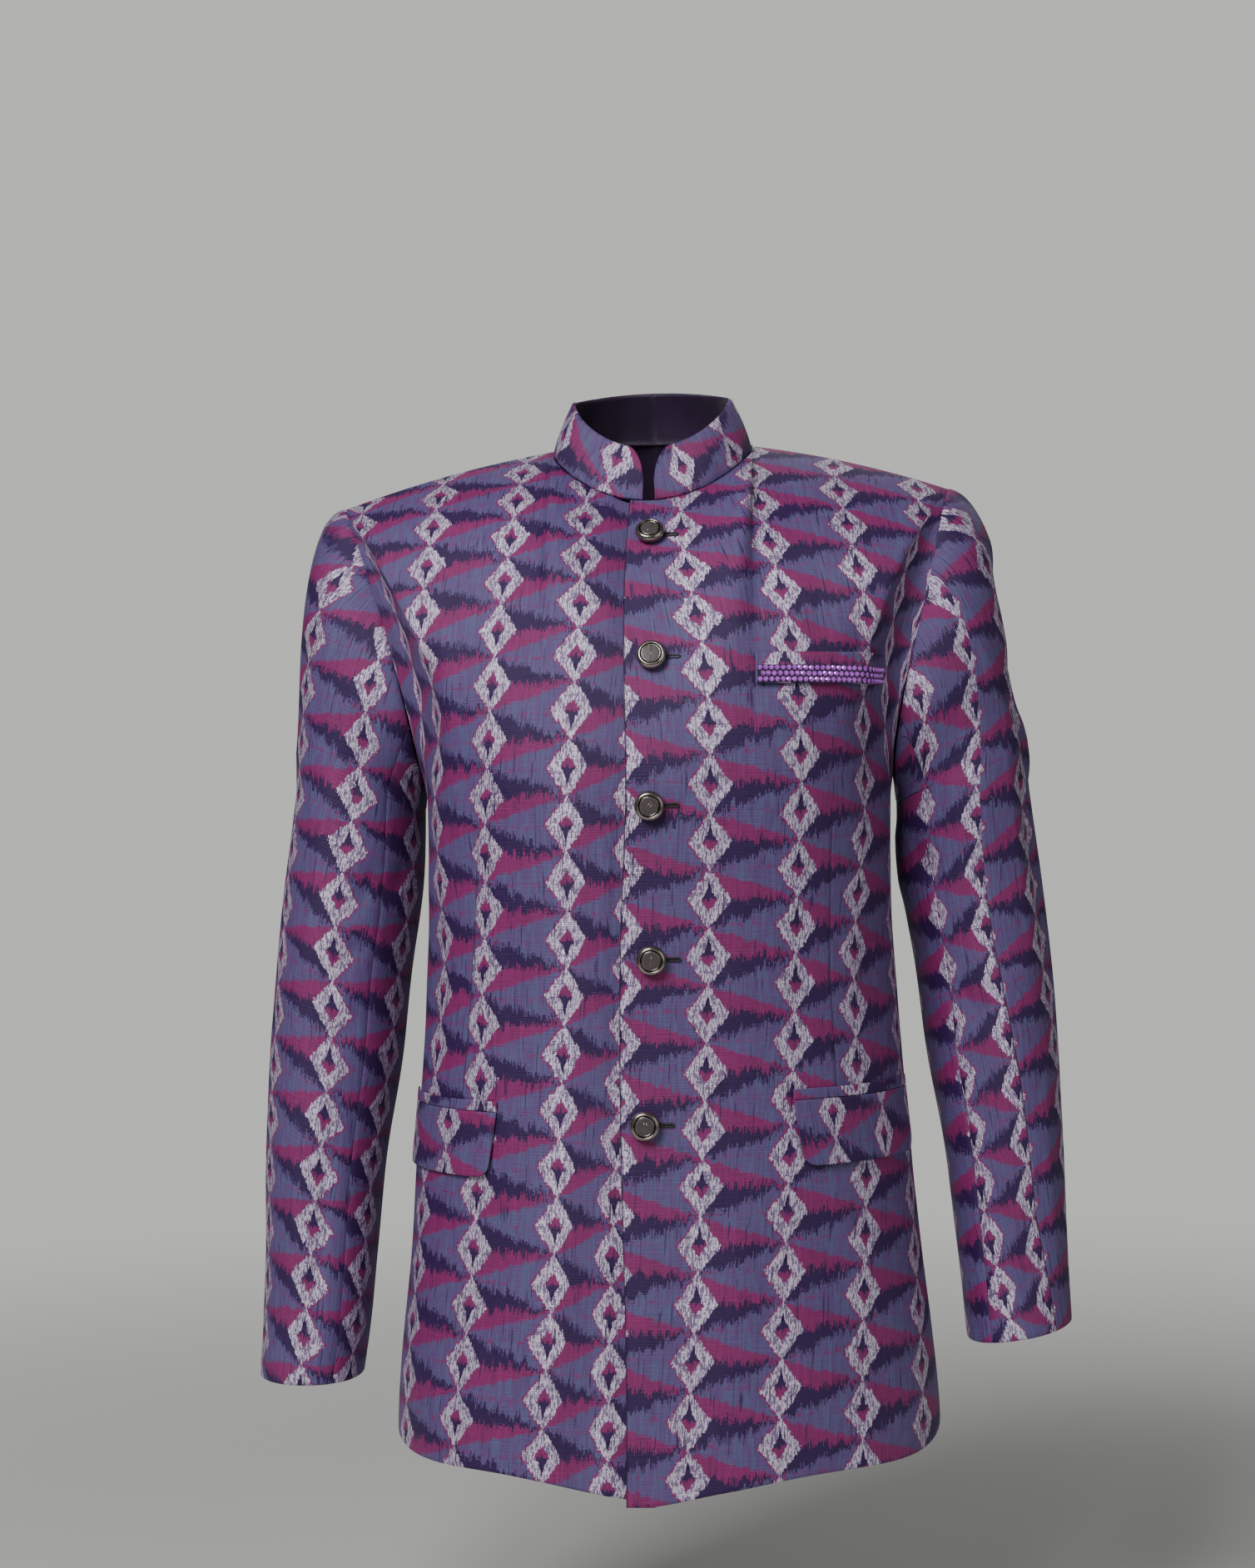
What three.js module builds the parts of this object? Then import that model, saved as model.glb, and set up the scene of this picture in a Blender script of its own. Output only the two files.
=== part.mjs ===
// A man's stand-collar jacket as it is worn: cut panels of cloth, each a thin closed shell.
// Frame: +Z up, the front faces -Y, the wearer's left is +X, millimetres.
// Origin: midway between the two points where the shoulder seams meet the neck.
import * as THREE from "three";

// ---- cloth and fit -------------------------------------------------------------------
const WALL = 2.0; // face cloth with its backing, in the body and sleeves
const COLLAR_WALL = 2.4; // stiffened
const TRIM_WALL = 1.4; // flaps, jets and welt, each pressed flat
const SEAM = 0.3; // clear space between neighbouring pieces
const LIFT = 0.9; // how far a piece that lies on a front stands off it
const UNDERLAP = 3.2; // how far the under front steps in beneath the overlap
const UNDER_REACH = 20; // how far the under front goes on past the centre
const UNDER_STEP = { start: 26, over: 22 }; // where the step starts, outward of the overlap's edge
const UNDER_HEM = { rise: 2.5, across: 0.08 }; // the under front's hem keeps above the one that hides it

// ---- body sections: half width, foremost and rearmost line, all from the origin -------
const Z_CHEST = -262; // section at which the upper body starts
const BODY_Y = -15; // where the side seams run
const BODY_POWER = 2.25; // 2 is an ellipse, more is squarer
const CHEST_LEAN = 0.05; // how far the upper body leans outward as it leaves the chest
const UPPER_REACH = 1.12; // how fully its columns round out, as a share of their length
const SECTION_STEPS = 80;
const BODY = [
  { z: -760, half: 201, front: -156, back: 110 },
  { z: -700, half: 200, front: -153, back: 112 },
  { z: -640, half: 193.5, front: -150, back: 110 },
  { z: -575, half: 186.5, front: -146.5, back: 106 },
  { z: -515, half: 183, front: -144, back: 100 },
  { z: -450, half: 177.5, front: -143, back: 90 },
  { z: -400, half: 174.5, front: -144, back: 84 },
  { z: -340, half: 171.5, front: -147, back: 82 },
  { z: -262, half: 172.5, front: -152, back: 94 },
];

// ---- hem height by share of the way from centre to side seam ---------------------------
const FRONT_HEM = [
  { at: -0.1, z: -747 },
  { at: 0, z: -746 },
  { at: 0.16, z: -738 },
  { at: 0.4, z: -729 },
  { at: 0.75, z: -727 },
  { at: 1, z: -717 },
];
const BACK_HEM = [
  { at: 0, z: -723 },
  { at: 1, z: -717 },
];

// ---- neck, shoulder and armhole --------------------------------------------------------
const NECK = { half: 75, front: -60, back: 62, drop: -42, rise: 14, curve: 1.6 };
const NECK_SEAM_TURN = 102; // where round the neck the shoulder seam starts, 0 in front
const TIP = { x: 219, y: 2, z: -32 }; // outer end of the shoulder seam, wearer's left
const SHOULDER_BOW = 4; // how far the shoulder seam bows up
// The wearer's right shoulder sits a little lower and further out.
const SIDES = {
  left: { sign: 1, tipOut: 0, tipDrop: 0 },
  right: { sign: -1, tipOut: 14, tipDrop: -4 },
};
const ARMHOLE = [
  { turn: 0, x: 219, y: 2, z: -32 },
  { turn: 30, x: 214, y: -27, z: -50 },
  { turn: 60, x: 204, y: -50, z: -94 },
  { turn: 90, x: 191, y: -62, z: -146 },
  { turn: 120, x: 180, y: -60, z: -194 },
  { turn: 150, x: 175, y: -40, z: -229 },
  { turn: 180, x: 174.5, y: -10, z: -243 },
  { turn: 210, x: 175, y: 26, z: -233 },
  { turn: 240, x: 178, y: 54, z: -200 },
  { turn: 270, x: 185, y: 67, z: -152 },
  { turn: 300, x: 199, y: 64, z: -98 },
  { turn: 330, x: 212, y: 38, z: -54 },
  { turn: 360, x: 219, y: 2, z: -32 },
];

// ---- front edges and how the columns of each panel are shared out ---------------------
const FRONT_EDGE = [
  { z: -760, x: -22 },
  { z: -662, x: -21 },
  { z: -483, x: -22.5 },
  { z: -367, x: -20.5 },
  { z: -290, x: -16 },
  { z: -235, x: -13 },
];
const NECK_EDGE_X = -14; // the same edge where it meets the neck
const FRONT_SHARES = { neck: 0.32, tip: 0.6 };
const BACK_SHARES = { neck: 0.29, tip: 0.62 };
const TIP_SPREAD = 0.3; // how far the cloth fans out toward the shoulder tip and the armhole
const ARM_SPREAD = 0.45;
// Way that the cloth runs where it ends: at the centre of the neck, at the shoulder seam and,
// beyond its tip, from the top of the armhole to where it stands upright.
const ENDS = {
  front: { neck: { y: 0.68, z: 0.73 }, shoulder: { y: 0.93, z: 0.37 } },
  back: { neck: { y: -0.45, z: 0.89 }, shoulder: { y: -0.9, z: 0.43 } },
};
const ARM_TOP = { y: 0.92, z: 0.39 };
const ARM_LOW = { y: 0.02, z: 1 };
const ARM_UPRIGHT = 2.2; // 1 over the share of the armhole in which it becomes upright
const SHOULDER_COLS = 5;
// Turns round the neck and round the armhole at which neighbouring pieces share their corners.
const FRONT_NECK_TURNS = [0, 17, 34, 51, 68, 85, NECK_SEAM_TURN];
const BACK_NECK_TURNS = [180, 154, 128, NECK_SEAM_TURN];
const FRONT_ARM_TURNS = [0, 20, 42, 64, 86, 106, 125, 143, 161, 180];
const BACK_ARM_TURNS = [360, 339, 317, 295, 272, 250, 234, 218, 199, 180];
const FOLDED = 0.75; // corners whose ways differ by more than this cosine stay apart
const COLUMN_STEP = 0.015; // share of a front by which a length is measured round it
const LAST_COLUMN = 0.98; // last column that a piece on a front may reach
const LOW_ROWS = 9;
const HIGH_ROWS = 8;

// ---- sleeves: sections down each arm ---------------------------------------------------
const CAP_OUT = 118; // how strongly the sleeve head springs outward
const CAP_END = { inner: -14, outer: 30 }; // where the head ends, above the first section
// How the head leaves the armhole, with its inner side given first where there are two numbers.
const CAP_TURN = { power: 1.3, out: [0.06, 1], ahead: -0.35, down: [-1, -0.15], inner: 0.9 };
const CAP_FALL = { out: 0.1, size: 1.02 }; // how the head runs into the sleeve below it
const ARM_GAP = 0.45; // clear space between the head and the body, along x
const SEAM_RADIUS = 55; // mean distance of a sleeve seam from the sleeve's own middle
const CAP_ROWS = 6;
const CUFF_ROWS = 8;
const FRONT_SEAM_TURN = 125; // degrees round the sleeve from its outermost line
const BACK_SEAM_TURN = 250;
const SLEEVE_POWER = 2.15;
const SLEEVES = {
  right: [
    { z: -250, inner: 177.5, outer: 273, y: 4, deep: 65 },
    { z: -320, inner: 180.5, outer: 284, y: 5, deep: 63 },
    { z: -385, inner: 190.5, outer: 291.5, y: 3, deep: 61 },
    { z: -450, inner: 197.5, outer: 296.5, y: -2, deep: 58 },
    { z: -520, inner: 209, outer: 299, y: -9, deep: 54 },
    { z: -590, inner: 216, outer: 299, y: -17, deep: 50 },
    { z: -640, inner: 220.5, outer: 300, y: -24, deep: 48 },
    { z: -681, inner: 226, outer: 301.5, y: -31, deep: 46 },
  ],
  left: [
    { z: -250, inner: 177, outer: 275, y: 10, deep: 65 },
    { z: -320, inner: 179.5, outer: 284, y: 17, deep: 63 },
    { z: -385, inner: 189.5, outer: 291, y: 18, deep: 61 },
    { z: -450, inner: 197, outer: 294.5, y: 14, deep: 58 },
    { z: -520, inner: 208.5, outer: 296, y: 6, deep: 54 },
    { z: -580, inner: 215, outer: 297, y: -2, deep: 50 },
    { z: -620, inner: 219, outer: 297.5, y: -7, deep: 48 },
    { z: -653, inner: 222, outer: 298.5, y: -12, deep: 46 },
  ],
};
// How much higher the outer side of the cuff is than its middle.
const CUFF_RISE = { right: 1, left: 7 };

// ---- collar ------------------------------------------------------------------------------
const COLLAR = { gap: 9, foot: 0.45, bow: 1.5, radius: 62, curve: 1.35 };
const COLLAR_TOP = { half: 59, front: -49, back: 47, sideZ: 40, frontZ: -2, backZ: 52 };
const COLLAR_FRONT_TURNS = [5.5, 8.5, 12.5]; // close columns round the front corners
const COLLAR_CORNER = { along: 13, down: 25 }; // the rounded front corners
const COLLAR_ROWS = 3;

// ---- pockets ----------------------------------------------------------------------------
const WELT = { x: 76, length: 111, top: -158, height: 22, cols: 8, lift: 2 };
const BAND = { inset: 0.8, height: 12.5, wall: 1.6, margin: 0.4 };
const POCKETS = {
  left: { x: 98, top: -462.5 },
  right: { x: 111, top: -470 },
};
const POCKET = {
  length: 124,
  measured: 20, // how far below the top its length is measured
  jet: 7.5,
  flap: 46,
  corner: 11,
  slant: 4,
  cols: 12,
  flapCols: 16,
  flapRows: 4,
};

// ---- buttons: where each is centred on the overlap ---------------------------------------
const BUTTONS = [
  { x: 2.2, z: -70 },
  { x: 5, z: -160 },
  { x: 2.6, z: -263 },
  { x: 1.7, z: -370 },
  { x: -4.8, z: -485 },
];
const BUTTON = { radius: 10.5, height: 5.6, recess: 7.5, sink: 1.5, shank: 3, stand: 2.2, sides: 28 };

const ikat = new THREE.MeshStandardMaterial({ name: "ikat_cloth", color: 0x5f4f7c, roughness: 0.6 });
const stones = new THREE.MeshStandardMaterial({
  name: "purple_stones",
  color: 0x8a2bb0,
  roughness: 0.2,
});
const metal = new THREE.MeshStandardMaterial({
  name: "button_metal",
  color: 0x4a4644,
  roughness: 0.25,
  metalness: 1,
});
const inset = new THREE.MeshStandardMaterial({ name: "button_inset", color: 0x6d6163, roughness: 0.4 });

// ---- small tools -------------------------------------------------------------------------
const mix = (a, b, t) => a + (b - a) * t;
const clamp = (v, low, high) => Math.min(high, Math.max(low, v));
const smooth = (t) => t * t * (3 - 2 * t);
const rad = (deg) => (deg * Math.PI) / 180;
const deg = (angle) => (angle * 180) / Math.PI;
const vec = (x, y, z) => new THREE.Vector3(x, y, z);
// Shares of the start, its slope, the end and its slope, on a smooth curve.
const curve = (t) => [
  2 * t ** 3 - 3 * t ** 2 + 1,
  t ** 3 - 2 * t ** 2 + t,
  -2 * t ** 3 + 3 * t ** 2,
  t ** 3 - t ** 2,
];

// Value of one column of a table at a place between its rows, on a smooth curve.
function along(table, by, key, at) {
  const up = table[0][by] < table[table.length - 1][by];
  const rows = up ? table : [...table].reverse();
  const v = clamp(at, rows[0][by], rows[rows.length - 1][by]);
  let i = 0;
  while (i < rows.length - 2 && rows[i + 1][by] < v) i += 1;
  const slope = (j) => {
    const a = rows[Math.max(0, j - 1)];
    const b = rows[Math.min(rows.length - 1, j + 1)];
    return (b[key] - a[key]) / (b[by] - a[by]);
  };
  const span = rows[i + 1][by] - rows[i][by];
  const [a, b, c, d] = curve((v - rows[i][by]) / span);
  return a * rows[i][key] + b * span * slope(i) + c * rows[i + 1][key] + d * span * slope(i + 1);
}

function hermite(p0, m0, p1, m1, t) {
  const [a, b, c, d] = curve(t);
  return vec(
    a * p0.x + b * m0.x + c * p1.x + d * m1.x,
    a * p0.y + b * m0.y + c * p1.y + d * m1.y,
    a * p0.z + b * m0.z + c * p1.z + d * m1.z,
  );
}

// ---- body sections ------------------------------------------------------------------------
const quarters = new Map();

// A quarter of a body section, from the centre line to the side, with its running length.
function quarter(z, isBack) {
  const key = `${z.toFixed(4)}${isBack}`;
  if (quarters.has(key)) return quarters.get(key);
  const half = along(BODY, "z", "half", z);
  const reach = along(BODY, "z", isBack ? "back" : "front", z) - BODY_Y;
  const points = [];
  let length = 0;
  for (let i = 0; i <= SECTION_STEPS; i += 1) {
    const a = (i / SECTION_STEPS) * (Math.PI / 2);
    const x = half * Math.sin(a) ** (2 / BODY_POWER);
    const y = BODY_Y + reach * Math.cos(a) ** (2 / BODY_POWER);
    if (i) length += Math.hypot(x - points[i - 1].x, y - points[i - 1].y);
    points.push({ x, y, length });
  }
  const made = { points, length };
  quarters.set(key, made);
  return made;
}

// Point of a body section at share s of the way from the centre line to the side seam.
function sectionPoint(side, isBack, s, z) {
  const { points, length } = quarter(z, isBack);
  const want = Math.min(Math.abs(s), 1) * length;
  let i = 1;
  while (i < points.length - 1 && points[i].length < want) i += 1;
  const t = (want - points[i - 1].length) / (points[i].length - points[i - 1].length);
  const x = mix(points[i - 1].x, points[i].x, t) * Math.sign(s || 1) * side.sign;
  return vec(x, mix(points[i - 1].y, points[i].y, t), z);
}

// ---- the upper edge of the body: neck, shoulder seam, armhole -------------------------------
function neckPoint(turn) {
  const c = Math.cos(rad(turn));
  const x = NECK.half * Math.sin(rad(turn));
  const bend = Math.abs(c) ** NECK.curve;
  if (c >= 0) return vec(x, NECK.front * c, NECK.drop * bend);
  return vec(x, -NECK.back * c, NECK.rise * (1 - (1 + c) ** 2));
}

function armholePoint(side, turn) {
  const t = ((turn % 360) + 360) % 360;
  const share = Math.max(0, Math.cos(rad(t))) ** 2;
  return vec(
    (along(ARMHOLE, "turn", "x", t) + side.tipOut * share) * side.sign,
    along(ARMHOLE, "turn", "y", t),
    along(ARMHOLE, "turn", "z", t) + side.tipDrop * share,
  );
}

function upperEnd(side, isBack, s) {
  const shares = isBack ? BACK_SHARES : FRONT_SHARES;
  const { neck, shoulder } = isBack ? ENDS.back : ENDS.front;
  const a = Math.abs(s);
  if (a <= shares.neck) {
    const q = s / shares.neck;
    const p = neckPoint(isBack ? 180 - q * (180 - NECK_SEAM_TURN) : q * NECK_SEAM_TURN);
    p.x *= side.sign;
    const lean = smooth(a / shares.neck);
    return { p, way: vec(0, mix(neck.y, shoulder.y, lean), mix(neck.z, shoulder.z, lean)) };
  }
  if (a <= shares.tip) {
    const q = (a - shares.neck) / (shares.tip - shares.neck);
    const inner = neckPoint(NECK_SEAM_TURN);
    const p = vec(
      mix(inner.x, TIP.x + side.tipOut, q) * side.sign,
      mix(inner.y, TIP.y, q),
      mix(inner.z, TIP.z + side.tipDrop, q) + SHOULDER_BOW * 4 * q * (1 - q),
    );
    const spread = TIP_SPREAD * q ** 2 * side.sign;
    return { p, way: vec(spread, shoulder.y, shoulder.z) };
  }
  const q = (a - shares.tip) / (1 - shares.tip);
  const p = armholePoint(side, isBack ? 360 - 180 * q : 180 * q);
  const upright = smooth(clamp(q * ARM_UPRIGHT, 0, 1));
  const ahead = isBack ? -1 : 1;
  const spread = (mix(TIP_SPREAD, 0, q) + ARM_SPREAD * Math.sin(Math.PI * q)) * side.sign;
  const way = vec(
    spread,
    mix(ARM_TOP.y, ARM_LOW.y, upright) * ahead,
    mix(ARM_TOP.z, ARM_LOW.z, upright),
  );
  return { p, way };
}

// Point of the upper body on column s, from the chest section (t 0) to its upper edge (t 1).
function upperPoint(side, isBack, s, t) {
  const foot = sectionPoint(side, isBack, s, Z_CHEST);
  const { p, way } = upperEnd(side, isBack, s);
  const reach = foot.distanceTo(p) * UPPER_REACH;
  const start = vec(0, isBack ? CHEST_LEAN : -CHEST_LEAN, 1).multiplyScalar(reach);
  return hermite(foot, start, p, way.clone().multiplyScalar(reach), t);
}

// Point of a front on column s at a height.
function frontAt(side, s, z) {
  if (z <= Z_CHEST) return sectionPoint(side, false, s, z);
  let low = 0;
  let high = 1;
  for (let i = 0; i < 18; i += 1) {
    const t = (low + high) / 2;
    if (upperPoint(side, false, s, t).z < z) low = t;
    else high = t;
  }
  return upperPoint(side, false, s, (low + high) / 2);
}

// Way that a front faces, from points a little to each side, above and below.
function frontNormal(side, s, z) {
  const beside = 0.02;
  const above = 4;
  const across = frontAt(side, s + beside, z).sub(frontAt(side, s - beside, z));
  const up = frontAt(side, s, z + above).sub(frontAt(side, s, z - above));
  return across.multiplyScalar(side.sign).cross(up).normalize();
}

// Column of a front that passes a distance x from the centre plane at a height.
function columnAt(side, x, z) {
  let low = -0.15;
  let high = 0.99;
  for (let i = 0; i < 20; i += 1) {
    const s = (low + high) / 2;
    if (frontAt(side, s, z).x * side.sign < x) low = s;
    else high = s;
  }
  return (low + high) / 2;
}

// Gives the column at a share of a length measured round the front from x, at one height.
function roundFront(side, x, z, length) {
  const marks = [{ s: columnAt(side, x, z), run: 0 }];
  let last = frontAt(side, marks[0].s, z);
  while (marks[marks.length - 1].run < length) {
    const { s, run } = marks[marks.length - 1];
    if (s > LAST_COLUMN) throw new Error(`a piece ${length} mm long runs off the front`);
    const next = frontAt(side, s + COLUMN_STEP, z);
    marks.push({ s: s + COLUMN_STEP, run: run + next.distanceTo(last) });
    last = next;
  }
  return (share) => along(marks, "run", "s", clamp(share, 0, 1) * length);
}

// ---- shells --------------------------------------------------------------------------------
// A grid is rows of points. Its normals point away from the wearer.
function gridNormals(grid, flip) {
  const rows = grid.length;
  const cols = grid[0].length;
  return grid.map((row, i) =>
    row.map((_, j) => {
      const a = grid[i][Math.min(cols - 1, j + 1)].clone().sub(grid[i][Math.max(0, j - 1)]);
      const b = grid[Math.min(rows - 1, i + 1)][j].clone().sub(grid[Math.max(0, i - 1)][j]);
      const n = a.cross(b).normalize();
      return flip ? n.negate() : n;
    }),
  );
}

function meshOf(points, faces, name, material) {
  let volume = 0;
  for (const [a, b, c] of faces) volume += points[a].dot(points[b].clone().cross(points[c]));
  const index = volume > 0 ? faces.flat() : faces.map(([a, b, c]) => [a, c, b]).flat();
  const geometry = new THREE.BufferGeometry();
  const places = points.flatMap((p) => [p.x, p.y, p.z]);
  geometry.setAttribute("position", new THREE.Float32BufferAttribute(places, 3));
  geometry.setIndex(index);
  geometry.computeVertexNormals();
  const mesh = new THREE.Mesh(geometry, material);
  mesh.name = name;
  return mesh;
}

// A closed shell: the grid is its outer face, and its inner face is a wall's thickness behind.
function shell(name, grid, normals, wall, material) {
  const rows = grid.length;
  const cols = grid[0].length;
  const outer = grid.flat();
  const inner = grid.flatMap((row, i) =>
    row.map((p, j) => p.clone().addScaledVector(normals[i][j], -wall)),
  );
  const points = [...outer, ...inner];
  const depth = rows * cols;
  const id = (i, j) => i * cols + j;
  const faces = [];
  const quad = (a, b, c, d) => faces.push([a, b, c], [a, c, d]);
  for (let i = 0; i < rows - 1; i += 1) {
    for (let j = 0; j < cols - 1; j += 1) {
      quad(id(i, j), id(i, j + 1), id(i + 1, j + 1), id(i + 1, j));
      quad(depth + id(i, j), depth + id(i + 1, j), depth + id(i + 1, j + 1), depth + id(i, j + 1));
    }
  }
  const rim = [];
  for (let j = 0; j < cols - 1; j += 1) rim.push(id(0, j));
  for (let i = 0; i < rows - 1; i += 1) rim.push(id(i, cols - 1));
  for (let j = cols - 1; j > 0; j -= 1) rim.push(id(rows - 1, j));
  for (let i = rows - 1; i > 0; i -= 1) rim.push(id(i, 0));
  rim.forEach((a, k) => {
    const b = rim[(k + 1) % rim.length];
    quad(b, a, depth + a, depth + b);
  });
  return meshOf(points, faces, name, material);
}

// ---- body panels -----------------------------------------------------------------------------
// Columns of a body panel, as shares of the way from the centre to the side seam.
function columnShares(isBack) {
  const shares = isBack ? BACK_SHARES : FRONT_SHARES;
  const neckTurns = isBack ? BACK_NECK_TURNS : FRONT_NECK_TURNS;
  const armTurns = isBack ? BACK_ARM_TURNS : FRONT_ARM_TURNS;
  const list = isBack ? [] : [-1, -0.5];
  const whole = neckTurns[neckTurns.length - 1] - neckTurns[0];
  for (const turn of neckTurns) list.push((shares.neck * (turn - neckTurns[0])) / whole);
  for (let i = 1; i < SHOULDER_COLS; i += 1) {
    list.push(mix(shares.neck, shares.tip, i / SHOULDER_COLS));
  }
  for (const turn of armTurns) list.push(mix(shares.tip, 1, Math.abs(turn - armTurns[0]) / 180));
  return list;
}

// How far, as a share of the quarter, the front edge or the button stand goes past the centre.
function pastCentre(isLeft, z, t) {
  const { length } = quarter(Math.min(z, Z_CHEST), false);
  const low = isLeft ? along(FRONT_EDGE, "z", "x", z) / length : -UNDER_REACH / length;
  if (t <= 0) return low;
  const turn = deg(Math.asin((isLeft ? NECK_EDGE_X : -UNDER_REACH) / NECK.half));
  return mix(low, (turn / NECK_SEAM_TURN) * FRONT_SHARES.neck, t);
}

// Step of the under front beneath the overlap, by distance past the overlap's edge.
function stepIn(x, z, t) {
  const edge = mix(along(FRONT_EDGE, "z", "x", z), NECK_EDGE_X, t);
  return -UNDERLAP * smooth(clamp((x - (edge - UNDER_STEP.start)) / UNDER_STEP.over, 0, 1));
}

function bodyGrid(side, isBack) {
  const isLeft = side === SIDES.left;
  const list = columnShares(isBack);
  const hem = isBack ? BACK_HEM : FRONT_HEM;
  const grid = [];
  const hemAt = (s) => {
    if (s >= 0 || isLeft) return along(hem, "at", "z", s);
    return along(hem, "at", "z", -s * UNDER_HEM.across) + UNDER_HEM.rise;
  };
  const place = (s, z, t) => {
    if (s < 0) return -s * pastCentre(isLeft, z, t);
    const trim = SEAM / 2 / quarter(Z_CHEST, isBack).length;
    if (isBack && s === 0) return trim;
    return s === 1 ? 1 - trim : s;
  };
  for (let i = 0; i <= LOW_ROWS; i += 1) {
    const q = 1 - i / LOW_ROWS;
    grid.push(
      list.map((s) => {
        const z = mix(Z_CHEST, hemAt(s), q);
        return sectionPoint(side, isBack, place(s, z, 0), z);
      }),
    );
  }
  for (let i = 1; i <= HIGH_ROWS; i += 1) {
    grid.push(
      list.map((s) => {
        const end = upperPoint(side, isBack, s < 0 ? place(s, Z_CHEST, 1) : s, 1);
        const foot = sectionPoint(side, isBack, Math.abs(s), Z_CHEST);
        const most = 1 - SEAM / 2 / Math.max(10, foot.distanceTo(end));
        const t = (i / HIGH_ROWS) * most;
        return upperPoint(side, isBack, place(s, Z_CHEST, t), t);
      }),
    );
  }
  return { grid, list };
}

// ---- sleeves ---------------------------------------------------------------------------------
function sleeveSection(name, turn, z) {
  const side = SIDES[name];
  const [inner, outer, middle, deep] = ["inner", "outer", "y", "deep"].map((key) =>
    along(SLEEVES[name], "z", key, z),
  );
  const squared = (v) => Math.sign(v) * Math.abs(v) ** (2 / SLEEVE_POWER);
  const x = (inner + outer) / 2 + ((outer - inner) / 2) * squared(Math.cos(rad(turn)));
  return vec(x * side.sign, middle - deep * squared(Math.sin(rad(turn))), z);
}

// Height at which the sleeve head ends, by turn.
function capFoot(name, turn) {
  const out = (1 + Math.cos(rad(turn))) / 2;
  const top = SLEEVES[name][0].z;
  return mix(top + CAP_END.inner, top + CAP_END.outer, out);
}

// Point of the sleeve head, from the armhole (t 0) to the first section (t 1).
function capPoint(name, turn, t) {
  const side = SIDES[name];
  const out = (1 + Math.cos(rad(turn))) / 2;
  const start = armholePoint(side, turn);
  start.x += ARM_GAP * side.sign;
  const end = sleeveSection(name, turn, SLEEVES[name][0].z);
  end.z = capFoot(name, turn);
  const chord = start.distanceTo(end);
  const share = out ** CAP_TURN.power;
  const lead = vec(
    mix(...CAP_TURN.out, share) * side.sign,
    CAP_TURN.ahead * Math.sin(rad(turn)),
    mix(...CAP_TURN.down, share),
  );
  lead.setLength(mix(chord * CAP_TURN.inner, CAP_OUT, out ** 2));
  const down = vec(CAP_FALL.out * side.sign, 0, -1).multiplyScalar(chord * CAP_FALL.size);
  return hermite(start, lead, end, down, t);
}

function sleeveGrid(name, turns) {
  const table = SLEEVES[name];
  const cuff = table[table.length - 1].z;
  const edge = deg(SEAM / 2 / SEAM_RADIUS);
  const last = turns.length - 1;
  const at = turns.map((turn, j) => turn + (j === 0 ? edge : 0) - (j === last ? edge : 0));
  const grid = [];
  for (let i = 0; i < CAP_ROWS; i += 1) {
    grid.push(at.map((turn) => capPoint(name, turn, i / CAP_ROWS)));
  }
  for (let k = 0; k <= CUFF_ROWS; k += 1) {
    grid.push(
      at.map((turn) => {
        const z = mix(capFoot(name, turn), cuff, k / CUFF_ROWS);
        const p = sleeveSection(name, turn, z);
        p.z = z + CUFF_RISE[name] * (k / CUFF_ROWS) ** 3 * Math.cos(rad(turn));
        return p;
      }),
    );
  }
  return grid;
}

// Shares the normals of corners that meet, unless the pieces fold back on each other there.
function joinNormals(corners) {
  const sum = vec(0, 0, 0);
  for (const n of corners) sum.add(n);
  if (corners.some((n) => n.dot(sum) < FOLDED * sum.length())) return;
  sum.normalize();
  for (const n of corners) n.copy(sum);
}

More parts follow.
